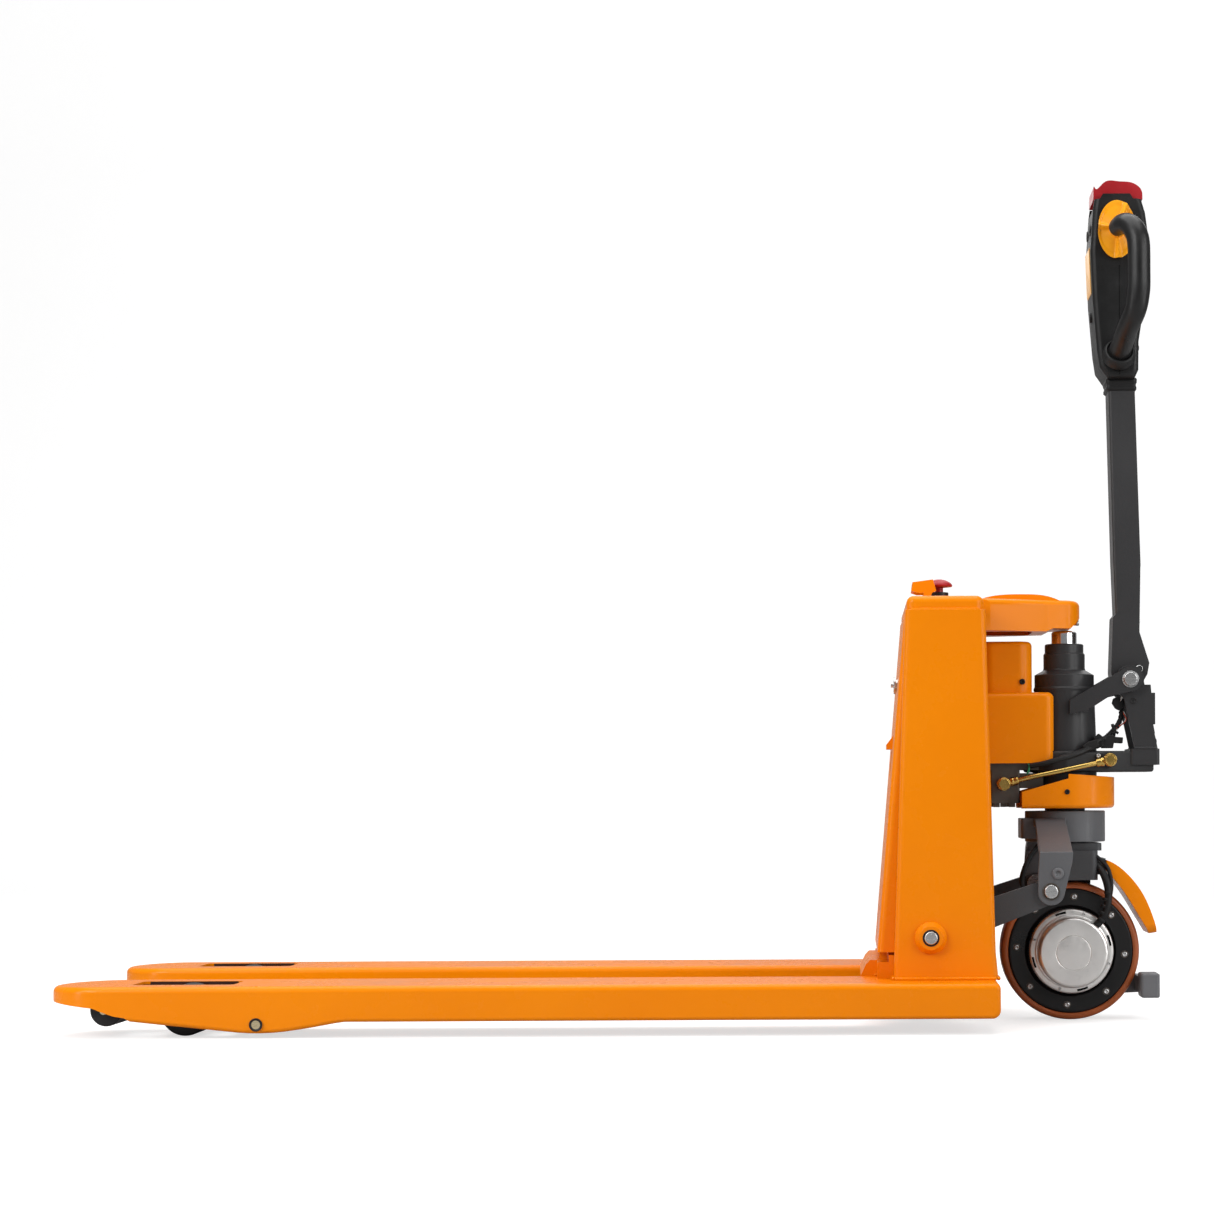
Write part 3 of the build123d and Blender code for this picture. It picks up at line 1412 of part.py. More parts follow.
# butterfly throttle: a shaft through the head with a two-bladed wing at each side
with BuildPart() as throttle_wings:
    with BuildSketch(y_plane(92)):
        with Locations(THROTTLE):
            Circle(THROTTLE_RADIUS)
    extrude(amount=184)
    # oval plates, then hubs with two blades
    for y in both_sides(50, 56):
        with BuildSketch(y_plane(y)):
            with Locations(shift(THROTTLE, -1, 1)):
                Ellipse(28, 43)
        extrude(amount=6)
    for y in both_sides(56, 80):
        with BuildSketch(y_plane(y)):
            with Locations(THROTTLE):
                Circle(11)
            with Locations(shift(THROTTLE, -5, 21)):
                RectangleRounded(9, 40, 3, rotation=14)
            with Locations(shift(THROTTLE, 5, -21)):
                RectangleRounded(9, 40, 3, rotation=14)
        extrude(amount=24)
save(throttle_wings.part, "throttle_wings")

# skirt of the belly button, stepped in at its foot
BELLY_SKIRT = [
    (704, 1226), (704, 1219.5), (709, 1219.5), (709, 1211), (772, 1211), (772, 1219.5),
    (777, 1219.5), (777, 1226),
]
with BuildPart() as belly_button:
    with BuildSketch(y_plane(38)):
        with BuildLine():
            Polyline(*BELLY_SKIRT)
            Spline((777, 1226), (774, 1236), (762, 1244.5), (740, HEAD_TOP), (719, 1244.5),
                   (707, 1236), (704, 1226), tangents=((0, 1), (0, -1)))
        make_face()
    extrude(amount=76)
    soften(belly_button.faces().sort_by(Axis.Y)[0].edges()
           + belly_button.faces().sort_by(Axis.Y)[-1].edges(), 5)
    # stem
    with BuildSketch(Plane.XY.offset(1192)):
        with Locations((SEAM_X, 0)):
            RectangleRounded(30, 40, 5)
    extrude(amount=22)
save(belly_button.part, "belly_button")

PANEL_FACE = [
    (698.7, 1150), (696.9, 1147), (697.2, 1140), (699.5, 1084), (700.5, 1081), (702.3, 1081),
    (698.7, 1150),
]
# what is cut off its back so that it lies on the head's front face
PANEL_BACK_CUT = [
    (704.3, 1160), (699.1, 1150), (698.7, 1143), (701.7, 1069), (708.3, 1069), (704.3, 1160),
]
with BuildPart() as control_panel:
    with BuildSketch(y_plane(30)):
        with BuildLine():
            Polyline(*PANEL_FACE)
        make_face()
    extrude(amount=60)
    with BuildSketch(y_plane(40)):
        with BuildLine():
            Polyline(*PANEL_BACK_CUT)
        make_face()
    extrude(amount=80, mode=Mode.SUBTRACT)
save(control_panel.part, "control_panel")


def make_button(y, z):
    """A button standing 2.2 mm proud of the head's front face."""
    middle_x, middle_z = FACE_MIDDLE
    end_x, end_z = FACE_TOP if z > middle_z else FACE_LOW
    surface = middle_x + (z - middle_z) * (end_x - middle_x) / (end_z - middle_z)
    with BuildPart() as button:
        with BuildSketch(Plane.YZ.offset(surface - 2.2)):
            with Locations((y, z)):
                Circle(BUTTON_RADIUS)
        extrude(amount=12)
        soften(button.faces().sort_by(Axis.X)[0].edges(), 1.2)
    return button.part


for button_name, (y, z) in BUTTONS.items():
    save(make_button(y, z), button_name)

# ---------------------------------------------------------------- tiller gas spring
SPRING_ROD_RADIUS = 4
spring_x = SPRING_FOOT[0] - SPRING_EAR[0]
spring_z = SPRING_EAR[1] - SPRING_FOOT[1]
spring_length = math.hypot(spring_x, spring_z)
lean = math.atan2(spring_x, spring_z)
# plane at the foot, its normal pointing along the spring to the ear
foot_plane = Plane(origin=(SPRING_FOOT[0], 0, SPRING_FOOT[1]),
                   x_dir=(math.cos(lean), 0, math.sin(lean)),
                   z_dir=(-math.sin(lean), 0, math.cos(lean)))

with BuildPart() as gas_spring_barrel:
    # barrel, neck and foot eye
    with BuildSketch(foot_plane.offset(11)):
        Circle(9)
    extrude(amount=58)
    with BuildSketch(foot_plane.offset(5)):
        Circle(4.9)
    extrude(amount=7)
    with BuildSketch(y_plane(5)):
        with Locations(SPRING_FOOT):
            Circle(9)
    extrude(amount=10)
    # holes for the foot pin and the rod
    with BuildSketch(y_plane(8)):
        with Locations(SPRING_FOOT):
            Circle(SPRING_PIN_RADIUS + PIN_FIT)
    extrude(amount=16, mode=Mode.SUBTRACT)
    with BuildSketch(foot_plane.offset(18)):
        Circle(SPRING_ROD_RADIUS + PIN_FIT)
    extrude(amount=60, mode=Mode.SUBTRACT)
save(gas_spring_barrel.part, "gas_spring_barrel")

with BuildPart() as gas_spring_rod:
    with BuildSketch(foot_plane.offset(48)):
        Circle(SPRING_ROD_RADIUS)
    extrude(amount=spring_length - 48 - 7)
    # slotted eye around the tiller's spring pin
    with BuildSketch(y_plane(4)):
        with Locations(shift(SPRING_EAR, 2.6, 0)):
            SlotCenterToCenter(6.4, 17.2, rotation=0)
            SlotCenterToCenter(6.4, 11.2, rotation=0, mode=Mode.SUBTRACT)
    extrude(amount=8)
save(gas_spring_rod.part, "gas_spring_rod")
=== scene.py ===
import math
import bpy
import bmesh
from mathutils import Vector, Matrix


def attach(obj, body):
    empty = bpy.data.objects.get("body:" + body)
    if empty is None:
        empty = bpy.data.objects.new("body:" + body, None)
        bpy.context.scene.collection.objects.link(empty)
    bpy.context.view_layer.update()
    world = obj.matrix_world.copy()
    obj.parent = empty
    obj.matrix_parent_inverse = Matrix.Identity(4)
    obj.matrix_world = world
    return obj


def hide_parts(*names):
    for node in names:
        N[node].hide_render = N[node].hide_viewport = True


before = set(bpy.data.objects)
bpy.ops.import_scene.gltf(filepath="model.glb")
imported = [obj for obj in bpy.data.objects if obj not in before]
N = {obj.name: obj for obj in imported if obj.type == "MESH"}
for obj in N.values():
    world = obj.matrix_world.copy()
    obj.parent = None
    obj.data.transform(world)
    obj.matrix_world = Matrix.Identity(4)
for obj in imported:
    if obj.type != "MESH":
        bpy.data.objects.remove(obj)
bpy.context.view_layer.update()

MM = 0.001

# ------------------------------------------------------------------ materials
def nodes_of(name):
    m = bpy.data.materials.new(name)
    m.use_nodes = True
    t = m.node_tree
    return m, t, t.nodes["Principled BSDF"]


def noise(t, scale, detail=4.0, rough=0.55, stretch=None):
    c = t.nodes.new("ShaderNodeTexCoord")
    mp = t.nodes.new("ShaderNodeMapping")
    if stretch:
        mp.inputs["Scale"].default_value = stretch
    n = t.nodes.new("ShaderNodeTexNoise")
    n.inputs["Scale"].default_value = scale
    n.inputs["Detail"].default_value = detail
    n.inputs["Roughness"].default_value = rough
    t.links.new(c.outputs["Object"], mp.inputs["Vector"])
    t.links.new(mp.outputs["Vector"], n.inputs["Vector"])
    return n.outputs["Fac"]


def ramp(t, fac, stops):
    r = t.nodes.new("ShaderNodeValToRGB")
    e = r.color_ramp.elements
    while len(e) < len(stops):
        e.new(0.5)
    for k, (p, c) in enumerate(stops):
        e[k].position = p
        e[k].color = (c, c, c, 1) if isinstance(c, (int, float)) else (*c, 1)
    t.links.new(fac, r.inputs["Fac"])
    return r.outputs["Color"]


def mix(t, fac, a, b):
    m = t.nodes.new("ShaderNodeMix")
    m.data_type = "RGBA"
    for s, v in (("Factor", fac), ("A", a), ("B", b)):
        sock = [i for i in m.inputs if i.name == s and (i.type == ("VALUE" if s == "Factor" else "RGBA"))][0]
        if isinstance(v, (int, float)):
            sock.default_value = v
        elif isinstance(v, tuple):
            sock.default_value = (*v, 1)
        else:
            t.links.new(v, sock)
    return [o for o in m.outputs if o.type == "RGBA"][0]


def edge_mask(t, radius, lo=0.0, hi=0.25):
    """1 on sharp edges, 0 on flats."""
    bv = t.nodes.new("ShaderNodeBevel")
    bv.samples = 4
    bv.inputs["Radius"].default_value = radius
    g = t.nodes.new("ShaderNodeNewGeometry")
    d = t.nodes.new("ShaderNodeVectorMath")
    d.operation = "DOT_PRODUCT"
    t.links.new(bv.outputs["Normal"], d.inputs[0])
    t.links.new(g.outputs["Normal"], d.inputs[1])
    return ramp(t, d.outputs["Value"], [(1 - hi, 1.0), (1 - lo - 0.01, 0.0)])


def bump(t, bsdf, parts):
    prev = None
    for h, strength, dist in parts:
        b = t.nodes.new("ShaderNodeBump")
        b.inputs["Strength"].default_value = strength
        b.inputs["Distance"].default_value = dist
        t.links.new(h, b.inputs["Height"])
        if prev:
            t.links.new(prev, b.inputs["Normal"])
        prev = b.outputs["Normal"]
    t.links.new(prev, bsdf.inputs["Normal"])


def paint(name, base, dark, rough=0.30, coat=0.15, peel=0.05, wear=None, spec=0.22):
    m, t, p = nodes_of(name)
    col = mix(t, ramp(t, noise(t, 3.2, 5), [(0.35, 0.0), (0.75, 1.0)]), base, dark)
    spots = ramp(t, noise(t, 240, 2, 0.7), [(0.70, 0.0), (0.76, 1.0)])
    col = mix(t, mult(t, spots, 0.03), col, tuple(c * 0.45 for c in base))
    if wear:
        br = ramp(t, noise(t, 60, 6, 0.7), [(0.50, 0.0), (0.62, 1.0)])
        em = edge_mask(t, 0.0016)
        col = mix(t, mulc(t, em, br, 0.28), col, wear)
    t.links.new(col, p.inputs["Base Color"])
    t.links.new(ramp(t, noise(t, 9, 6, 0.65), [(0.30, rough - 0.07), (0.72, rough + 0.12)]), p.inputs["Roughness"])
    p.inputs["Coat Weight"].default_value = coat
    p.inputs["Coat Roughness"].default_value = 0.12
    p.inputs["Specular IOR Level"].default_value = spec
    bump(t, p, [(noise(t, 620, 2, 0.4), peel, 0.0006), (noise(t, 22, 3, 0.5), 0.04, 0.002)])
    return m


def mult(t, a, k):
    n = t.nodes.new("ShaderNodeMath")
    n.operation = "MULTIPLY"
    t.links.new(a, n.inputs[0])
    n.inputs[1].default_value = k
    return n.outputs[0]


def mulc(t, a, b, k):
    n = t.nodes.new("ShaderNodeMath")
    n.operation = "MULTIPLY"
    t.links.new(a, n.inputs[0])
    t.links.new(b, n.inputs[1])
    return mult(t, n.outputs[0], k)


def metal(name, base, dark, rough=0.28, brush=(1, 1, 40), scale=60, depth=0.10, aniso=0.0):
    m, t, p = nodes_of(name)
    col = mix(t, ramp(t, noise(t, 14, 6, 0.6), [(0.35, 0.0), (0.75, 1.0)]), base, dark)
    stain = ramp(t, noise(t, 45, 5, 0.7), [(0.60, 0.0), (0.74, 1.0)])
    col = mix(t, mult(t, stain, 0.22), col, tuple(c * 0.5 for c in dark))
    t.links.new(col, p.inputs["Base Color"])
    p.inputs["Metallic"].default_value = 1.0
    p.inputs["Anisotropic"].default_value = aniso
    t.links.new(ramp(t, noise(t, scale, 4, 0.7, brush), [(0.3, rough - 0.08), (0.7, rough + 0.12)]), p.inputs["Roughness"])
    bump(t, p, [(noise(t, scale * 4, 3, 0.6, brush), depth, 0.0003)])
    return m


def plastic(name, base, rough=0.45, grain=0.12, gscale=1400, coat=0.0, scuff=0.25, spec=0.5):
    m, t, p = nodes_of(name)
    lighter = tuple(min(1, c * 1.35 + 0.012) for c in base)
    col = mix(t, ramp(t, noise(t, 18, 6, 0.6), [(0.45, 0.0), (0.85, 1.0)]), base, lighter)
    sc = ramp(t, noise(t, 90, 5, 0.75, (1, 1, 6)), [(0.62, 0.0), (0.72, 1.0)])
    col = mix(t, mult(t, sc, scuff), col, tuple(min(1, c * 1.6 + 0.03) for c in base))
    t.links.new(col, p.inputs["Base Color"])
    t.links.new(ramp(t, noise(t, 24, 5, 0.65), [(0.3, rough - 0.08), (0.75, rough + 0.13)]), p.inputs["Roughness"])
    p.inputs["Coat Weight"].default_value = coat
    p.inputs["Specular IOR Level"].default_value = spec
    bump(t, p, [(noise(t, gscale, 2, 0.5), grain, 0.0003)])
    return m


M = {
    "orange": paint("orange_powder_coat", (0.785, 0.218, 0.0004), (0.75, 0.196, 0.0003), 0.25, 0.05, 0.05, (0.93, 0.42, 0.04), 0.12),
    "dark": paint("charcoal_powder_coat", (0.0290, 0.0288, 0.0300), (0.0350, 0.0348, 0.0360), 0.36, 0.05, 0.22, (0.11, 0.11, 0.112), 0.24),
    "cast": paint("grey_cast_paint", (0.058, 0.059, 0.062), (0.044, 0.045, 0.048), 0.44, 0.05, 0.45, (0.18, 0.18, 0.185), 0.30),
    "guard": paint("grey_guard_paint", (0.128, 0.129, 0.136), (0.100, 0.101, 0.107), 0.40, 0.08, 0.25, (0.30, 0.30, 0.31), 0.35),
    "collar": paint("grey_collar_paint", (0.104, 0.106, 0.113), (0.082, 0.084, 0.089), 0.40, 0.06, 0.40, (0.32, 0.32, 0.33), 0.32),
    "black": paint("black_enamel", (0.0060, 0.0055, 0.0058), (0.0100, 0.0094, 0.0098), 0.34, 0.10, 0.10, (0.05, 0.05, 0.052), 0.26),
    "steel": metal("turned_steel", (0.62, 0.62, 0.62), (0.46, 0.46, 0.46), 0.26),
    "chrome": metal("hard_chrome", (0.80, 0.81, 0.83), (0.70, 0.71, 0.73), 0.14, (1, 1, 60), 80, 0.03),
    "silver": metal("die_cast_silver", (0.80, 0.785, 0.765), (0.68, 0.665, 0.65), 0.36, (1, 1, 1), 130, 0.14),
    "gold": metal("yellow_zinc", (0.62, 0.42, 0.12), (0.46, 0.29, 0.075), 0.22, (1, 1, 1), 50, 0.05),
    "alloy": metal("grey_alloy", (0.13, 0.115, 0.10), (0.095, 0.082, 0.072), 0.42, (1, 1, 1), 90, 0.2),
    "tread": plastic("polyurethane_tread", (0.330, 0.078, 0.018), 0.36, 0.10, 500, 0.06, 0.2, 0.35),
    "nylon": plastic("black_nylon", (0.0095, 0.0090, 0.0093), 0.42, 0.10, 700, 0.0, 0.2, 0.28),
    "abs": plastic("black_abs", (0.0055, 0.0055, 0.0057), 0.44, 0.30, 1900, 0.0, 0.2, 0.28),
    "abs2": plastic("charcoal_grip", (0.0055, 0.0055, 0.0057), 0.34, 0.12, 1500, 0.0, 0.2, 0.34),
    "red": plastic("red_abs", (0.30, 0.008, 0.012), 0.34, 0.06, 1200, 0.06, 0.10, 0.28),
    "yellow": plastic("yellow_abs", (0.78, 0.31, 0.004), 0.34, 0.06, 1200, 0.06, 0.10, 0.26),
    "amber": plastic("amber_overlay", (0.78, 0.43, 0.14), 0.34, 0.05, 900, 0.08, 0.10, 0.3),
    # dark shaded orange for the walls of the load wheel openings: painted shade, not a part of its own
    "opening_shade": plastic("painted_opening_shade", (0.032, 0.0085, 0.0040), 0.5, 0.1, 700, 0.0, 0.1, 0.2),
    "zinc": metal("pale_zinc", (0.66, 0.56, 0.36), (0.52, 0.43, 0.26), 0.28),
    "rubber": plastic("cable_rubber", (0.0080, 0.0078, 0.0080), 0.50, 0.15, 900, 0.0, 0.2, 0.26),
    "case": plastic("battery_case", (0.030, 0.033, 0.042), 0.50, 0.25, 1100),
    "wire_red": plastic("wire_red", (0.42, 0.05, 0.02), 0.45, 0.05, 900),
    "wire_white": plastic("wire_white", (0.62, 0.62, 0.60), 0.45, 0.05, 900),
    "wire_green": plastic("wire_green", (0.02, 0.25, 0.12), 0.45, 0.05, 900),
    "dark_hole": plastic("shadow_black", (0.004, 0.004, 0.004), 0.8, 0.05, 900, 0.0, 0.1, 0.1),
}

# ------------------------------------------------------------------ builders
def add_obj(name, me, mat, body, smooth=True, slot=None):
    me.validate()
    o = bpy.data.objects.new(name, me)
    bpy.context.scene.collection.objects.link(o)
    if smooth:
        for f in me.polygons:
            f.use_smooth = True
    me.materials.append(M[mat])
    if body:
        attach(o, body)
    return o


def soften(o, width=0.0006, segs=2, angle=38):
    b = o.modifiers.new("edge", "BEVEL")
    b.width = width
    b.segments = segs
    b.limit_method = "ANGLE"
    b.angle_limit = math.radians(angle)
    b.harden_normals = False
    b.use_clamp_overlap = True
    w = o.modifiers.new("wn", "WEIGHTED_NORMAL")
    w.keep_sharp = True
    w.weight = 80
    return o


def from_bm(bm, name, mat, body, **k):
    bmesh.ops.recalc_face_normals(bm, faces=bm.faces)
    me = bpy.data.meshes.new(name)
    bm.to_mesh(me)
    bm.free()
    return add_obj(name, me, mat, body, **k)


def frame_of(direction):
    z = Vector(direction).normalized()
    up = Vector((0, 0, 1)) if abs(z.z) < 0.9 else Vector((1, 0, 0))
    x = up.cross(z).normalized()
    return x, z.cross(x), z


def lathe(name, profile, origin, direction, mat, body, seg=96, closed=True, **k):
    """Turned piece: (radius, height) pairs in mm about a line from origin (mm) along direction."""
    x, y, z = frame_of(direction)
    o = Vector(origin)
    bm = bmesh.new()
    rings = []
    for r, h in profile:
        if r < 1e-6:
            rings.append([bm.verts.new((o + z * h) * MM)])
        else:
            rings.append([bm.verts.new((o + z * h + (x * math.cos(a) + y * math.sin(a)) * r) * MM)
                          for a in (2 * math.pi * i / seg for i in range(seg))])
    pairs = list(zip(rings, rings[1:])) + ([(rings[-1], rings[0])] if closed and len(rings[0]) > 1 and len(rings[-1]) > 1 else [])
    for a, b in pairs:
        for i in range(seg):
            j = (i + 1) % seg
            f = [a[i % len(a)], a[j % len(a)], b[j % len(b)], b[i % len(b)]]
            f = list(dict.fromkeys(f))
            if len(f) > 2:
                bm.faces.new(f)
    return from_bm(bm, name, mat, body, **k)


def round_profile(points, radius, steps=4):
    """Rounds the corners of an open profile."""
    out = []
    for i, p in enumerate(points):
        if i in (0, len(points) - 1):
            out.append(p)
            continue
        a, b, c = Vector(points[i - 1]), Vector(p), Vector(points[i + 1])
        u, v = (a - b), (c - b)
        r = min(radius, u.length * 0.45, v.length * 0.45)
        if r < 1e-4:
            out.append(p)
            continue
        s, e = b + u.normalized() * r, b + v.normalized() * r
        for q in range(steps + 1):
            w = q / steps
            out.append(tuple(s * (1 - w) ** 2 + b * 2 * w * (1 - w) + e * w ** 2))
    return out


def tube(name, points, radius, mat, body, res=10, seg=14, radii=None, cap=True, **k):
    """Smooth round tube through points in mm, with a radius for each point if given."""
    pts = [Vector(p) for p in points]
    path, rad = [], []
    n = len(pts)
    for i in range(n - 1):
        p0, p1, p2, p3 = pts[max(i - 1, 0)], pts[i], pts[i + 1], pts[min(i + 2, n - 1)]
        for q in range(res):
            u = q / res
            path.append(0.5 * ((2 * p1) + (p2 - p0) * u + (2 * p0 - 5 * p1 + 4 * p2 - p3) * u * u + (3 * p1 - p0 - 3 * p2 + p3) * u ** 3))
            rad.append(radius if not radii else radii[i] * (1 - u) + radii[i + 1] * u)
    path.append(pts[-1])
    rad.append(radius if not radii else radii[-1])
    bm = bmesh.new()
    nrm = None
    rings = []
    for i, c in enumerate(path):
        d = (path[min(i + 1, len(path) - 1)] - path[max(i - 1, 0)]).normalized()
        if nrm is None:
            nrm = frame_of(d)[0]
        nrm = (nrm - d * nrm.dot(d)).normalized()
        bn = d.cross(nrm)
        rings.append([bm.verts.new((c + (nrm * math.cos(a) + bn * math.sin(a)) * rad[i]) * MM)
                      for a in (2 * math.pi * s / seg for s in range(seg))])
    for a, b in zip(rings, rings[1:]):
        for s in range(seg):
            bm.faces.new((a[s], a[(s + 1) % seg], b[(s + 1) % seg], b[s]))
    if cap:
        bm.faces.new(rings[0][::-1])
        bm.faces.new(rings[-1])
    return from_bm(bm, name, mat, body, **k)


def weld(name, a, b, r, mat, body, pitch=4.2):
    """A weld bead between two points in mm: overlapping ripples."""
    a, b = Vector(a), Vector(b)
    n = max(2, int((b - a).length / pitch))
    pts, radii = [], []
    for i in range(n * 3 + 1):
        w = i / (n * 3)
        pts.append(a.lerp(b, w))
        radii.append(r * (1.0 + (0.14 if i % 3 == 1 else -0.05)) * (0.6 if i in (0, n * 3) else 1))
    return tube(name, pts, r, mat, body, res=1, seg=10, radii=radii)


def plate(name, outline, y0, y1, mat, body, width=0.8, **k):
    """Flat piece: outline of (X, Z) in mm, between two Y values."""
    bm = bmesh.new()
    a = [bm.verts.new((x * MM, y0 * MM, z * MM)) for x, z in outline]
    b = [bm.verts.new((x * MM, y1 * MM, z * MM)) for x, z in outline]
    bm.faces.new(a)
    bm.faces.new(b[::-1])
    for i in range(len(a)):
        j = (i + 1) % len(a)
        bm.faces.new((a[i], b[i], b[j], a[j]))
    o = from_bm(bm, name, mat, body, **k)
    return soften(o, width * MM, 3, 25)


def screw(name, origin, direction, r, h, mat, body, socket=True):
    """Button or cap screw with a hexagon socket, standing h out of its face."""
    x, y, z = frame_of(direction)
    o = Vector(origin)
    bm = bmesh.new()
    seg = 36
    def ring(rad, height, n=seg, hexa=False):
        return [bm.verts.new((o + z * height + (x * math.cos(t) + y * math.sin(t)) * rad) * MM)
                for t in (2 * math.pi * i / n for i in range(n))]
    def hexring(rad, height):
        vs = []
        for i in range(seg):
            t = 2 * math.pi * i / seg
            k = math.cos(math.pi / 6) / math.cos((t % (math.pi / 3)) - math.pi / 6)
            vs.append(bm.verts.new((o + z * height + (x * math.cos(t) + y * math.sin(t)) * rad * k) * MM))
        return vs
    rings = [ring(r, -0.6), ring(r, h * 0.55), ring(r * 0.95, h * 0.82), ring(r * 0.84, h), ring(r * 0.62, h)]
    if socket:
        rings += [hexring(r * 0.5, h), hexring(r * 0.48, h * 0.35)]
    for a, b in zip(rings, rings[1:]):
        for i in range(seg):
            bm.faces.new((a[i], a[(i + 1) % seg], b[(i + 1) % seg], b[i]))
    bm.faces.new(rings[-1])
    bm.faces.new(rings[0][::-1])
    return from_bm(bm, name, mat, body)


# ------------------------------------------------------------------ carried CAD nodes: finish and softened edges
look = {
    "fork_left": "orange", "fork_right": "orange", "fork_axles": "zinc", "base_plate": "orange", "side_panel_left": "orange", "side_panel_right": "orange",
    "pivot_bosses": "orange", "rear_bulkhead": "orange", "top_cap": "orange", "head_arm": "orange", "controller": "silver", "battery_pack": "case",
    "estop_base": "nylon", "estop_guard": "orange", "battery_gauge": "nylon", "battery_door": "orange", "door_latch": "steel", "estop_button": "red",
    "pivot_shaft": "steel", "rocker_arms": "cast", "push_rods": "black", "roller_links": "black", "load_wheel_left": "nylon", "load_wheel_right": "nylon",
    "entry_roller_left": "nylon", "entry_roller_right": "nylon", "collar_bracket": "collar", "rocker_pins": "steel", "wheel_yoke": "cast", "wheel_axle": "steel",
    "brake_unit": "silver", "wheel_fender": "orange", "foot_guard": "guard", "cylinder_body": "dark", "pump_motor": "black", "pump_cover": "orange",
    "valve_block": "alloy", "oil_pipe": "gold", "slew_guard": "orange", "steer_base": "dark", "tiller_yoke": "dark", "support_arms": "dark",
    "tiller_pivot_pin": "steel", "drive_tyre": "tread", "drive_rim": "black", "rim_screws": "steel", "piston_rod": "chrome", "tiller_arm": "dark",
    "head_front_shell": "abs", "head_rear_shell": "abs", "hand_grips": "abs2", "control_panel": "amber", "throttle_wings": "yellow", "belly_button": "red",
    "raise_button": "nylon", "lower_button": "nylon", "horn_button": "nylon", "gas_spring_barrel": "black", "gas_spring_rod": "chrome",
}
soft = {"head_front_shell": 1.6, "head_rear_shell": 1.6, "wheel_yoke": 1.6, "collar_bracket": 1.4, "rocker_arms": 1.6, "tiller_arm": 1.0, "steer_base": 1.4,
        "slew_guard": 1.0, "pump_cover": 0.8, "fork_left": 0.8, "fork_right": 0.8, "side_panel_left": 0.8, "side_panel_right": 0.8, "battery_door": 1.0,
        "wheel_fender": 1.2, "estop_guard": 0.8, "cylinder_body": 0.8, "drive_tyre": 1.2, "support_arms": 1.6, "tiller_yoke": 1.2, "head_arm": 1.2, "belly_button": 3.5}
for name, o in N.items():
    o.data.materials.clear()
    o.data.materials.append(M[look[name]])
    w = o.modifiers.new("join", "WELD")
    w.merge_threshold = 0.00002
    d = o.modifiers.new("flats", "DECIMATE")
    d.decimate_type = "DISSOLVE"
    d.angle_limit = math.radians(0.6)
    b = o.modifiers.new("edge", "BEVEL")
    b.width = soft.get(name, 0.5) * MM
    b.segments = 3
    b.limit_method = "ANGLE"
    b.angle_limit = math.radians(34)
    b.use_clamp_overlap = True
    b.harden_normals = False
    wn = o.modifiers.new("wn", "WEIGHTED_NORMAL")
    wn.weight = 90
    wn.keep_sharp = False
    for f in o.data.polygons:
        f.use_smooth = True

# ------------------------------------------------------------------ drive wheel
AX, AZ = 665.0, 103.0
near = (AX, 0, AZ)
tyre = [(93, -35), (98, -35), (101.2, -33.2), (102.6, -29), (103, -20), (103, 20), (102.6, 29), (101.2, 33.2), (98, 35), (93, 35)]
t_o = lathe("tyre_tread", round_profile(tyre, 1.6), near, (0, 1, 0), "tread", "drive_wheel", 144, slot="tread")
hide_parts("drive_tyre")
rim = [(15.1, -29.5), (64, -29.5), (66.5, -31.2), (67.5, -34), (89, -34.3), (91.4, -34), (92.9, -32.5), (92.9, 32.5), (91.4, 34), (67.5, 34), (66, 31), (64, 29.5), (15.1, 29.5)]
r_o = lathe("wheel_rim", round_profile(rim, 1.0), near, (0, 1, 0), "black", "drive_wheel", 144)
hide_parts("drive_rim")
for i in range(8):
    a = math.radians(41 + 45 * i)
    s_o = screw(f"rim_screw_{i + 1}", (AX + 80.5 * math.cos(a), -34.2, AZ + 80.5 * math.sin(a)), (0, -1, 0), 3.9, 2.4, "steel", "drive_wheel")
    if i == 0:
        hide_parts("rim_screws")
    lathe(f"rim_washer_{i + 1}", round_profile([(3.8, 0), (5.6, 0), (5.6, 0.8), (3.8, 0.8)], 0.2), (AX + 80.5 * math.cos(a), -34.1, AZ + 80.5 * math.sin(a)), (0, -1, 0), "alloy", "drive_wheel", 36)

# ------------------------------------------------------------------ brake drum, ring with lightening slots drawn as painted shade, and cap
ring = [(20, 37), (61.5, 37), (62.5, 38.2), (62.5, 50.5), (61, 52.5), (57.5, 53), (54.5, 53), (53, 54), (20, 54)]
b_o = lathe("brake_ring", round_profile(ring, 0.8), near, (0, -1, 0), "silver", "column", 144)
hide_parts("brake_unit")
cap = [(15, 53), (50.5, 53), (51.5, 54.5), (51.5, 88.5), (50.1, 91.2), (47.5, 92.6), (26.2, 92.9), (25.6, 91.9), (25.0, 92.9), (0, 92.9)]
lathe("brake_cap", round_profile(cap, 0.7), near, (0, -1, 0), "silver", "column", 144, closed=False)
# the slots are not cut: short black tubes laid on the ring face are painted shade of the slot openings
for i, a0 in enumerate((8, 98, 188, 278)):
    pts = []
    for q in range(9):
        a = math.radians(a0 + q * 2.0)
        pts.append((AX + 58.2 * math.cos(a), -52.9, AZ + 58.2 * math.sin(a)))
    tube(f"ring_slot_{i + 1}", pts, 1.6, "dark_hole", "column", res=3, seg=12)
for i, a0 in enumerate((-18, 72, 162, 252)):
    a = math.radians(a0)
    screw(f"ring_screw_{i + 1}", (AX + 58 * math.cos(a), -52.6, AZ + 58 * math.sin(a)), (0, -1, 0), 2.5, 2.2, "steel", "column")

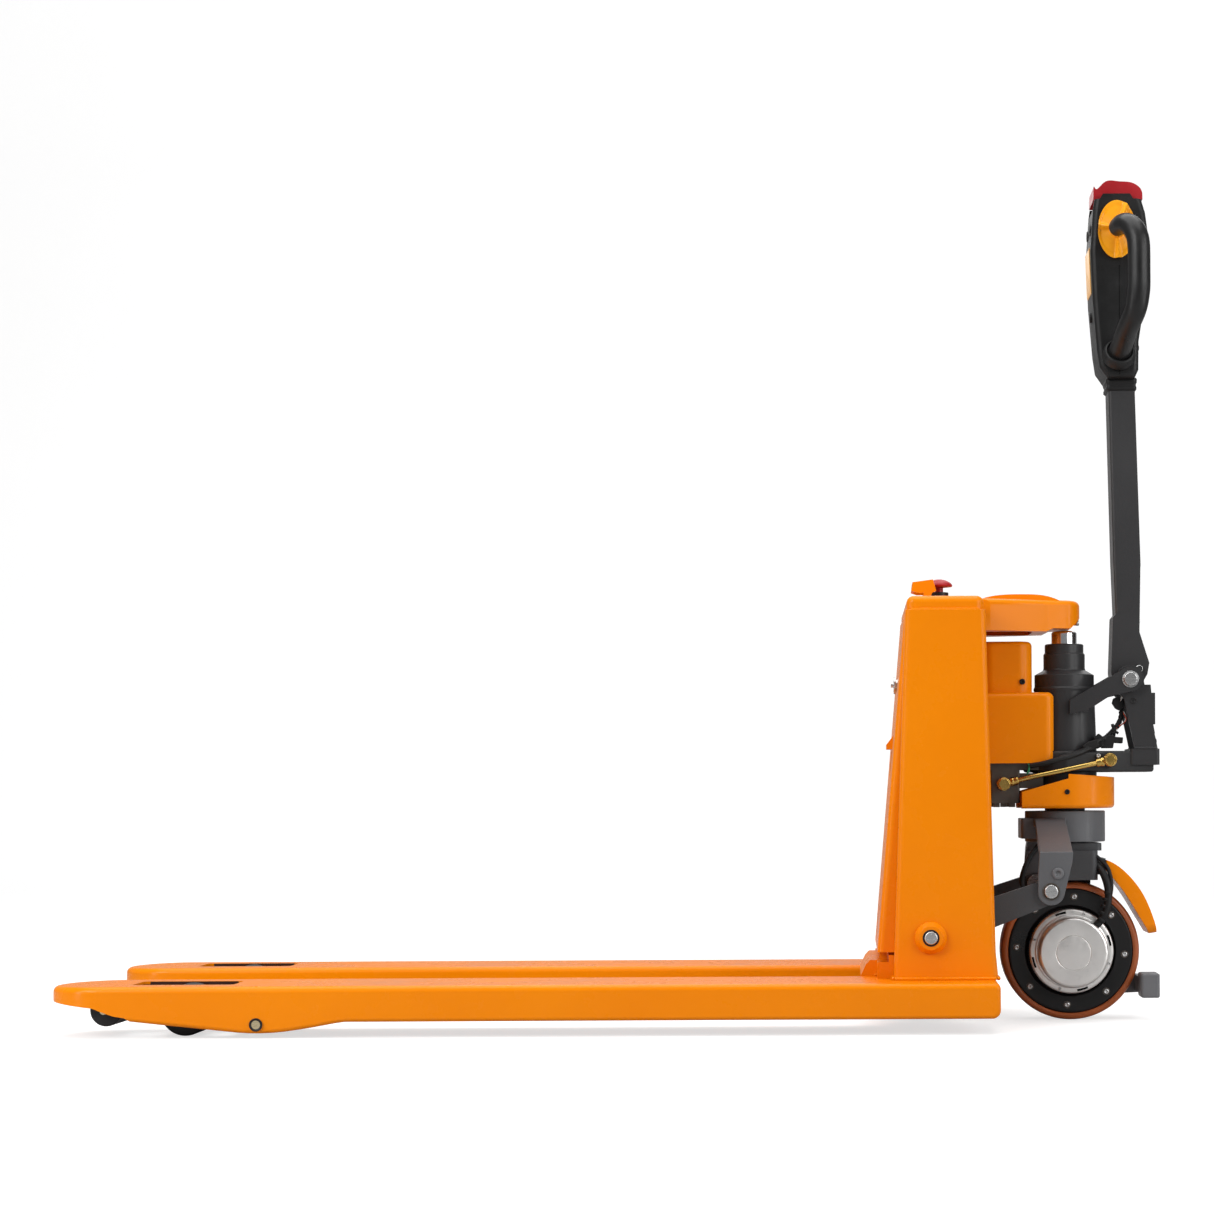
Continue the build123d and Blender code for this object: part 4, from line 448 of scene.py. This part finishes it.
# ------------------------------------------------------------------ cables and hoses
tube("brake_cable", [(704, -44, 232), (714, -58, 214), (719, -64, 190), (716, -66, 166), (708, -64, 150), (699, -58, 139)], 5.6, "rubber", "column", seg=24)
tube("brake_cable_thin", [(700, -48, 246), (718, -54, 228), (724, -58, 204), (721, -60, 182), (712, -60, 160), (703, -56, 146)], 3.0, "rubber", "column", seg=16)
for i in range(5):
    a = Vector((719.0 - i * 2.4, -64 - 0.3 * i, 192 - i * 10))
    b = Vector((718.4 - i * 2.9, -64 - 0.3 * i, 188 - i * 10))
    tube(f"cable_clip_{i + 1}", [a, b], 6.2, "rubber", "column", res=2, seg=24)
tube("harness_main", [(752, -22, 494), (746, -24, 478), (744, -24, 462), (742, -24, 448), (736, -25, 437), (728, -27, 428), (719, -30, 420), (706, -38, 415)], 3.6, "rubber", "column", seg=20)
for i in range(6):
    w = i / 5.0
    a = Vector((743.2 - 20 * w * w, -24.5 - 4 * w, 457 - 34 * w))
    d = Vector((-0.15 - 0.75 * w, -0.05, -1 + 0.35 * w)).normalized()
    tube(f"harness_tape_{i + 1}", [a - d * 1.4, a + d * 1.4], 4.1, "rubber", "column", res=2, seg=20)
tube("harness_lower", [(706, -44, 412), (694, -56, 404), (678, -66, 397), (660, -71, 391), (640, -72, 386), (622, -70, 381), (604, -66, 378)], 3.8, "rubber", "column", seg=18)
tube("harness_side", [(712, -40, 418), (700, -50, 410), (686, -60, 402), (668, -66, 396), (648, -70, 390)], 3.2, "rubber", "column", seg=16)
tube("harness_stub", [(729, -28, 440), (732, -27, 430), (731, -26, 420), (726, -26, 414)], 2.4, "rubber", "column", seg=14)
tube("wire_a", [(753, -30, 494), (747, -32, 484), (741, -31, 474)], 1.1, "wire_white", "column", seg=10)
tube("wire_b", [(749, -29, 492), (744, -31, 482), (740, -30, 473)], 1.0, "wire_white", "column", seg=10)
tube("wire_c", [(746, -26, 459), (749, -27, 452), (748, -27, 444), (742, -27, 438), (735, -28, 430)], 0.9, "wire_white", "column", seg=10)
tube("wire_d", [(744, -26, 460), (747, -28, 454), (750, -28, 447), (746, -28, 441), (738, -28, 436), (730, -28, 430)], 0.9, "wire_red", "column", seg=10)
tube("wire_green", [(600, -60, 384), (603, -66, 377), (600, -62, 366)], 1.6, "wire_green", "column", seg=12)
plate("plug_upper", [(731, 478), (737, 481), (745, 476), (746, 466), (740, 460), (734, 463), (729, 471)], -32, -18, "nylon", "column", 1.2)
plate("plug_middle", [(713, 404), (730, 404), (731, 412), (744, 411), (745, 420), (733, 421), (730, 424), (714, 421)], -34, -14, "nylon", "column", 1.2)
plate("plug_clip", [(700, 407), (706, 403), (714, 407), (715, 420), (708, 426), (701, 419)], -42, -26, "nylon", "column", 1.0)
plate("plug_foot", [(684, 402), (696, 400), (707, 407), (704, 417), (692, 414), (682, 407)], -60, -46, "nylon", "column", 1.2)
tube("plug_pin", [(728, -30, 426), (734, -30, 428), (738, -30, 426)], 2.0, "rubber", "column", res=4, seg=14)
screw("base_side_screw", (706, -55.6, 392.5), (0, -1, 0), 3.4, 2.4, "steel", "column")
tube("rocker_cable", [(618, -60, 262), (604, -74, 246), (594, -84, 227), (590, -80, 209), (594, -68, 194)], 4.0, "rubber", "collar", seg=14)

# ------------------------------------------------------------------ oil pipe with flare nuts and banjo ends
pipe = tube("oil_pipe_run", [(573, -64, 353.5), (596, -69, 359.3), (620, -72, 364.5), (668, -72, 374.5), (692, -69, 379.6), (712, -64.5, 384)], 3.7, "gold", "column", seg=28)
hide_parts("oil_pipe")
lathe("pipe_nut_rear", round_profile([(3.2, 0), (5.4, 0), (6.0, 2), (6.0, 7), (6.6, 8), (6.6, 12), (3.2, 12)], 0.5), (701, -66.6, 381.6), (0.97, 0.15, 0.20), "gold", "column", 48)
lathe("pipe_nut_front", round_profile([(3.2, 0), (5.4, 0), (6.0, 2), (6.0, 7), (6.6, 8), (6.6, 12), (3.2, 12)], 0.5), (587, -67, 357), (-0.96, 0.19, -0.24), "gold", "column", 48)
lathe("banjo_rear", round_profile([(4, 2), (9.6, 2), (10, 3), (10, 20), (9.4, 21), (8.4, 21), (8.4, 22), (9.2, 22.6), (9.2, 26.4), (8.6, 27.4), (7.2, 27.6), (6.8, 26.9), (6.4, 27.6), (0, 27.6)], 0.4),
      (722, -53.5, 386.5), (0, -1, 0), "gold", "column", 64, closed=False)
lathe("banjo_front", round_profile([(4, 0), (9.6, 0), (10, 1), (10, 25), (9.4, 26), (4, 26)], 0.5), (565, -46, 351.5), (0, -1, 0), "gold", "column", 64)
lathe("banjo_front_hex", round_profile([(0, 25), (9.4, 25), (9.4, 31), (8.3, 32.2), (0, 32.2)], 0.4), (565, -46, 351.5), (0, -1, 0), "gold", "column", 6, closed=False, smooth=False)

# ------------------------------------------------------------------ fasteners
screw("cover_screw", (594, -50, 503), (0, -1, 0), 4.4, 3.0, "nylon", "column")
screw("cover_screw_far", (594, 50, 503), (0, 1, 0), 4.4, 3.0, "nylon", "column")
screw("guard_screw", (658, -73.6, 339.5), (0, -1, 0), 3.9, 2.6, "nylon", "column")
screw("guard_screw_far", (658, 73.6, 339.5), (0, 1, 0), 3.9, 2.6, "nylon", "column")
screw("plug_boss", (637, -165.6, 222), (0, -1, 0), 8.6, 3.0, "guard", "collar", socket=True)
screw("plug_boss_far", (637, 165.6, 222), (0, 1, 0), 8.6, 3.0, "guard", "collar", socket=True)
for s in (-1, 1):
    tag = "near" if s < 0 else "far"
    lathe(f"rocker_pin_ring_{tag}", round_profile([(10.1, 0), (12.6, 0), (12.6, 1.4), (10.1, 1.4)], 0.3), (627, s * 165.8, 196), (0, s, 0), "alloy", "collar", 48)
    lathe(f"shaft_ring_{tag}", round_profile([(9.7, 0), (12.0, 0), (12.0, 0.9), (9.7, 0.9)], 0.3), (452, s * 222.7, 133), (0, s, 0), "nylon", "chassis", 48)
    for q in range(3):
        a = math.radians(90 + 120 * q)
        screw(f"shaft_mark_{tag}_{q}", (452 + 5.2 * math.cos(a), s * 225.7, 133 + 5.2 * math.sin(a)), (0, s, 0), 1.1, 0.7, "steel", "crank", socket=False)
    lathe(f"link_bolt_ring_{tag}", round_profile([(6.2, 0), (9.4, 0), (9.4, 1.0), (6.2, 1.0)], 0.3), (-495, s * 281.6, 19.6), (0, s, 0), "nylon", "chassis", 48)
    lathe(f"tilt_pin_ring_{tag}", round_profile([(10.2, 0), (12.4, 0), (12.4, 1.3), (10.2, 1.3)], 0.3), (754, s * 55.8, 506), (0, s, 0), "steel", "column", 48)
    lathe(f"ear_pin_{tag}", round_profile([(0.1, 0), (5.6, 0), (5.6, 3.4), (4.6, 4.4), (0, 4.4)], 0.5), (769.6, s * 28.5, 522.3), (0, s, 0), "steel", "tiller", 40, closed=False)
    lathe(f"yoke_plug_{tag}", round_profile([(2.0, 0), (4.6, 0), (4.6, 1.4), (2.0, 1.4)], 0.3), (759, s * 44.8, 474), (0, s, 0), "nylon", "column", 36)
screw("arm_stop_screw", (678.6, 0, 592.5), (1, 0, 0), 4.4, 4.0, "steel", "chassis")
screw("foot_guard_screw", (652, 65.5, 84), (0, 1, 0), 5, 4, "steel", "column")
# dark sheets lining the top edges of the load wheel openings: painted shade of the recessed opening walls, in a dark
# shaded orange
for s in (-1, 1):
    for k, yy in enumerate((164.1, 235.2)):
        plate(f"opening_shade_sheet_{'near' if s < 0 else 'far'}_{k + 1}", [(-671.5, 72.7), (-544.5, 72.7), (-544.5, 64), (-671.5, 64)], s * yy, s * (yy + 0.7), "opening_shade", "chassis", 0.15)
# ------------------------------------------------------------------ weld beads, one of them along the box's folded base
for s in (-1, 1):
    tag = "near" if s < 0 else "far"
    weld(f"weld_panel_{tag}", (400, s * 210.6, 74.3), (546, s * 210.6, 74.3), 2.6, "orange", "chassis")
    weld(f"weld_panel_front_{tag}", (398.6, s * 208, 74.3), (398.6, s * 174, 74.3), 2.6, "orange", "chassis")
    weld(f"weld_panel_rear_{tag}", (548.6, s * 208, 74.3), (548.6, s * 174, 74.3), 2.6, "orange", "chassis")
    weld(f"weld_base_{tag}", (372, s * 119, 74.3), (500, s * 119, 74.3), 2.2, "orange", "chassis")
    weld(f"weld_cap_{tag}", (426, s * 207.6, 601.5), (525, s * 207.6, 601.5), 1.7, "orange", "chassis")
    weld(f"weld_arm_{tag}", (500, s * 95.5, 580), (500, s * 95.5, 622), 2.4, "orange", "chassis")
    weld(f"weld_boss_{tag}", (760, s * 45.6, 404), (794, s * 45.6, 404), 1.8, "dark", "column")

# ------------------------------------------------------------------ control head: grips, butterflies, shells
for s in (-1, 1):
    tag = "left" if s < 0 else "right"
    path = [(735, s * 78, 1170), (741, s * 96, 1172), (749, s * 112, 1168), (757, s * 122, 1156), (761.5, s * 127, 1138), (762, s * 128, 1100),
            (761.5, s * 127, 1068), (757.5, s * 119, 1042), (748, s * 94, 1018), (743, s * 70, 1001), (739.5, s * 46, 987)]
    rr = [13.0, 14.6, 15.5, 16.3, 16.5, 16.5, 16.5, 16.0, 15.5, 16.0, 17.0]
    g = tube(f"grip_{tag}", path, 14, "abs2", "tiller", res=12, seg=48, radii=rr, slot="black_plastic")
    if s < 0:
        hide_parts("hand_grips")
    lathe(f"grip_end_{tag}", round_profile([(0.1, -6), (11.6, -6), (13.0, -3), (13.0, 1), (0, 1)], 1.6), (735, s * 78, 1170), (-0.32, -s, -0.03), "abs2", "tiller", 56, closed=False)
    lathe(f"grip_collar_{tag}", round_profile([(10, -4), (25, -4), (24.2, 5), (21.8, 11), (19.2, 12.4), (18.2, 9), (10, 8)], 1.6), (740, s * 47, 987), (0.06, s, 0.50), "abs", "tiller", 72)
    # butterfly: a dished thumb wing with a raised hub and two ribs
    bm = bmesh.new()
    rings = []
    nseg, nr = 144, 14
    for k in range(nr + 1):
        w = k / nr
        ringv = []
        for i in range(nseg):
            a = 2 * math.pi * i / nseg
            x, z = 28.0 * math.cos(a) * w, 43.0 * math.sin(a) * w
            ridge = 0.0
            for at, wide in ((3.02, 0.13), (1.02, 0.12), (-1.50, 0.13), (-0.30, 0.12)):
                turn = (a - at + math.pi) % (2 * math.pi) - math.pi
                ridge += math.exp(-(turn / wide) ** 2)
            out = 54.5 + 10 * (1 - w) ** 1.2 + (12.0 - 4.5 * w) * ridge * min(1.0, w * 4) + (1.6 if w > 0.9 else 0.0)
            ringv.append((x, out, z))
        rings.append(ringv)
    front = [[bm.verts.new(((737 + x) * MM, s * y * MM, (1172 + z) * MM)) for x, y, z in r] for r in rings[1:]]
    c1 = bm.verts.new((737 * MM, s * 67.5 * MM, 1172 * MM))
    back = [[bm.verts.new(((737 + x * 0.985) * MM, s * (y - 5.5 if k == nr - 1 else 50.5 + 0.2 * (y - 56)) * MM, (1172 + z * 0.985) * MM)) for x, y, z in r] for k, r in enumerate(rings[1:])]
    c2 = bm.verts.new((737 * MM, s * 50.5 * MM, 1172 * MM))
    for set_, c in ((front, c1), (back, c2)):
        for i in range(nseg):
            j = (i + 1) % nseg
            bm.faces.new((c, set_[0][i], set_[0][j]))
            for a_, b_ in zip(set_, set_[1:]):
                bm.faces.new((a_[i], a_[j], b_[j], b_[i]))
    for i in range(nseg):
        j = (i + 1) % nseg
        bm.faces.new((front[-1][i], front[-1][j], back[-1][j], back[-1][i]))
    wing = from_bm(bm, f"butterfly_{tag}", "yellow", "throttle", slot="yellow_plastic")
    soften(wing, 0.0008, 2, 40)
    if s < 0:
        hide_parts("throttle_wings")
    lathe(f"wing_hub_{tag}", round_profile([(0.1, 50), (12.4, 50), (12.4, 70), (10.5, 75), (0, 75)], 1.5), (738, 0, 1171), (0, s, 0), "yellow", "throttle", 56, closed=False)

# cover strip down the back of the tiller arm
plate("arm_back_strip", [(765.0, 934), (772.0, 690), (772.2, 682), (770.4, 588), (769.0, 588), (770.8, 682), (770.6, 690), (763.6, 934)], -22.5, 22.5, "dark", "tiller", 0.4)
for k, (x, z, sy) in enumerate(((771.9, 678, -14), (771.9, 678, 14), (770.5, 594, -14), (770.5, 594, 14))):
    screw(f"strip_screw_{k + 1}", (x, sy, z), (1, 0, 0), 3.0, 2.0, "steel", "tiller")
# seam between the two shells
for s in (-1, 1):
    tube(f"shell_seam_{'near' if s < 0 else 'far'}", [(741, s * 48.0, 958), (741, s * 48.05, 1040), (741, s * 48.05, 1120)], 0.5, "dark_hole", "tiller", seg=8)
for k, (y, z) in enumerate(((-30, 1000), (30, 1000), (-30, 1100), (30, 1100))):
    x = 769.8 if z == 1000 else 781.9
    screw(f"head_screw_{k + 1}", (x, y, z), (1, 0, 0), 3.6, 1.6, "nylon", "tiller")
# rubber boot where the arm enters the head
bm = bmesh.new()
boot = []
for z, g in ((937, 0.6), (938.5, 2.4), (942, 2.6), (944, 1.6), (946.5, 1.7), (949, 3.0), (954, 3.2), (956, 1.6)):
    ring_ = []
    for cx, cy, a0 in ((763, 26, 0), (728, 26, 90), (728, -26, 180), (763, -26, 270)):
        for q in range(7):
            a = math.radians(a0 + 15 * q)
            ring_.append(bm.verts.new(((cx + (2.4 + g) * math.cos(a)) * MM, (cy + (2.4 + g) * math.sin(a)) * MM, z * MM)))
    boot.append(ring_)
for a_, b_ in zip(boot, boot[1:]):
    for i in range(len(a_)):
        j = (i + 1) % len(a_)
        bm.faces.new((a_[i], a_[j], b_[j], b_[i]))
bm.faces.new(boot[0][::-1])
bm.faces.new(boot[-1])
from_bm(bm, "head_boot", "rubber", "tiller")

# ------------------------------------------------------------------ camera, floor, light
scene = bpy.context.scene
cam = bpy.data.objects.new("Camera", bpy.data.cameras.new("Camera"))
scene.collection.objects.link(cam)
scene.camera = cam
cam.location = (0.338, -4.156, 0.3515)
cam.rotation_euler = (math.radians(90), 0, 0)
cam.rotation_euler = (Matrix.Rotation(math.radians(90), 4, "X") @ Matrix.Rotation(math.radians(-0.28), 4, "Z")).to_euler()
cam.data.sensor_width = 36.0
cam.data.lens = 2770.0 / 1214.0 * 36.0
cam.data.clip_end = 60
for prop, value in (("shift_x", -0.2002), ("shift_y", 0.1464)):
    d = cam.data.driver_add(prop).driver
    d.type = "SCRIPTED"
    v = d.variables.new()
    v.name = "x"
    v.type = "TRANSFORMS"
    v.targets[0].id = cam
    v.targets[0].transform_type = "LOC_X"
    v.targets[0].transform_space = "WORLD_SPACE"
    d.expression = f"{value} if abs(x - 0.338) < 0.002 else 0.0"

bm = bmesh.new()
prof = [(-9.0, 0.0), (4.5, 0.0)] + [(4.5 + 3.0 * math.sin(a), 3.0 - 3.0 * math.cos(a)) for a in (math.radians(v) for v in range(6, 91, 6))] + [(7.5, 9.0)]
left = [bm.verts.new((-12, y, z)) for y, z in prof]
right = [bm.verts.new((12, y, z)) for y, z in prof]
for i in range(len(prof) - 1):
    bm.faces.new((left[i], right[i], right[i + 1], left[i + 1]))
me = bpy.data.meshes.new("backdrop")
bm.to_mesh(me)
bm.free()
floor = bpy.data.objects.new("backdrop", me)
scene.collection.objects.link(floor)
for f in me.polygons:
    f.use_smooth = True
fm, ft, fp = nodes_of("studio_floor")
ft.links.new(ramp(ft, noise(ft, 2.0, 3), [(0.3, (0.44, 0.44, 0.44)), (0.7, (0.452, 0.452, 0.452))]), fp.inputs["Base Color"])
fp.inputs["Roughness"].default_value = 0.7
fp.inputs["Specular IOR Level"].default_value = 0.2
# the camera sees the floor a little brighter than the object does, so paint keeps its depth
lp = ft.nodes.new("ShaderNodeLightPath")
em = mult(ft, lp.outputs["Is Camera Ray"], 0.66)
fp.inputs["Emission Color"].default_value = (1, 1, 1, 1)
ft.links.new(em, fp.inputs["Emission Strength"])
me.materials.append(fm)


def area(name, loc, target, size, power, colour=(1, 1, 1)):
    l = bpy.data.lights.new(name, "AREA")
    l.shape = "RECTANGLE"
    l.size, l.size_y = size
    l.energy = power
    l.color = colour
    o = bpy.data.objects.new(name, l)
    scene.collection.objects.link(o)
    o.location = loc
    o.rotation_euler = (Vector(target) - Vector(loc)).to_track_quat("-Z", "Y").to_euler()
    return o


area("top_soft", (0.0, -0.2, 3.6), (0.0, 0, 0), (4.2, 3.2), 130)
area("key_soft", (-2.6, -3.4, 2.8), (0.2, 0, 0.4), (1.8, 1.8), 100)
area("fill_soft", (3.2, -3.0, 1.6), (0.4, 0, 0.4), (1.6, 2.0), 50)
area("strip_left", (-1.9, -1.1, 1.0), (0.6, 0, 0.6), (0.35, 2.4), 16)
area("strip_right", (2.6, -0.9, 1.0), (0.6, 0, 0.6), (0.35, 2.4), 16)
area("back_soft", (0.6, 3.0, 2.4), (0.3, 0, 0.5), (3.0, 1.6), 22)
area("backdrop_wash", (0.0, 3.2, 6.2), (0.0, 6.6, 2.0), (8.0, 1.5), 200)
world = bpy.data.worlds.new("studio")
world.use_nodes = True
world.node_tree.nodes["Background"].inputs[0].default_value = (1.0, 1.0, 1.0, 1)
wp = world.node_tree.nodes.new("ShaderNodeLightPath")
wm = world.node_tree.nodes.new("ShaderNodeMath")
wm.operation = "MULTIPLY_ADD"
world.node_tree.links.new(wp.outputs["Is Camera Ray"], wm.inputs[0])
wm.inputs[1].default_value = 0.62
wm.inputs[2].default_value = 0.25
world.node_tree.links.new(wm.outputs[0], world.node_tree.nodes["Background"].inputs[1])
scene.world = world
scene.view_settings.view_transform = "Standard"
scene.view_settings.look = "None"
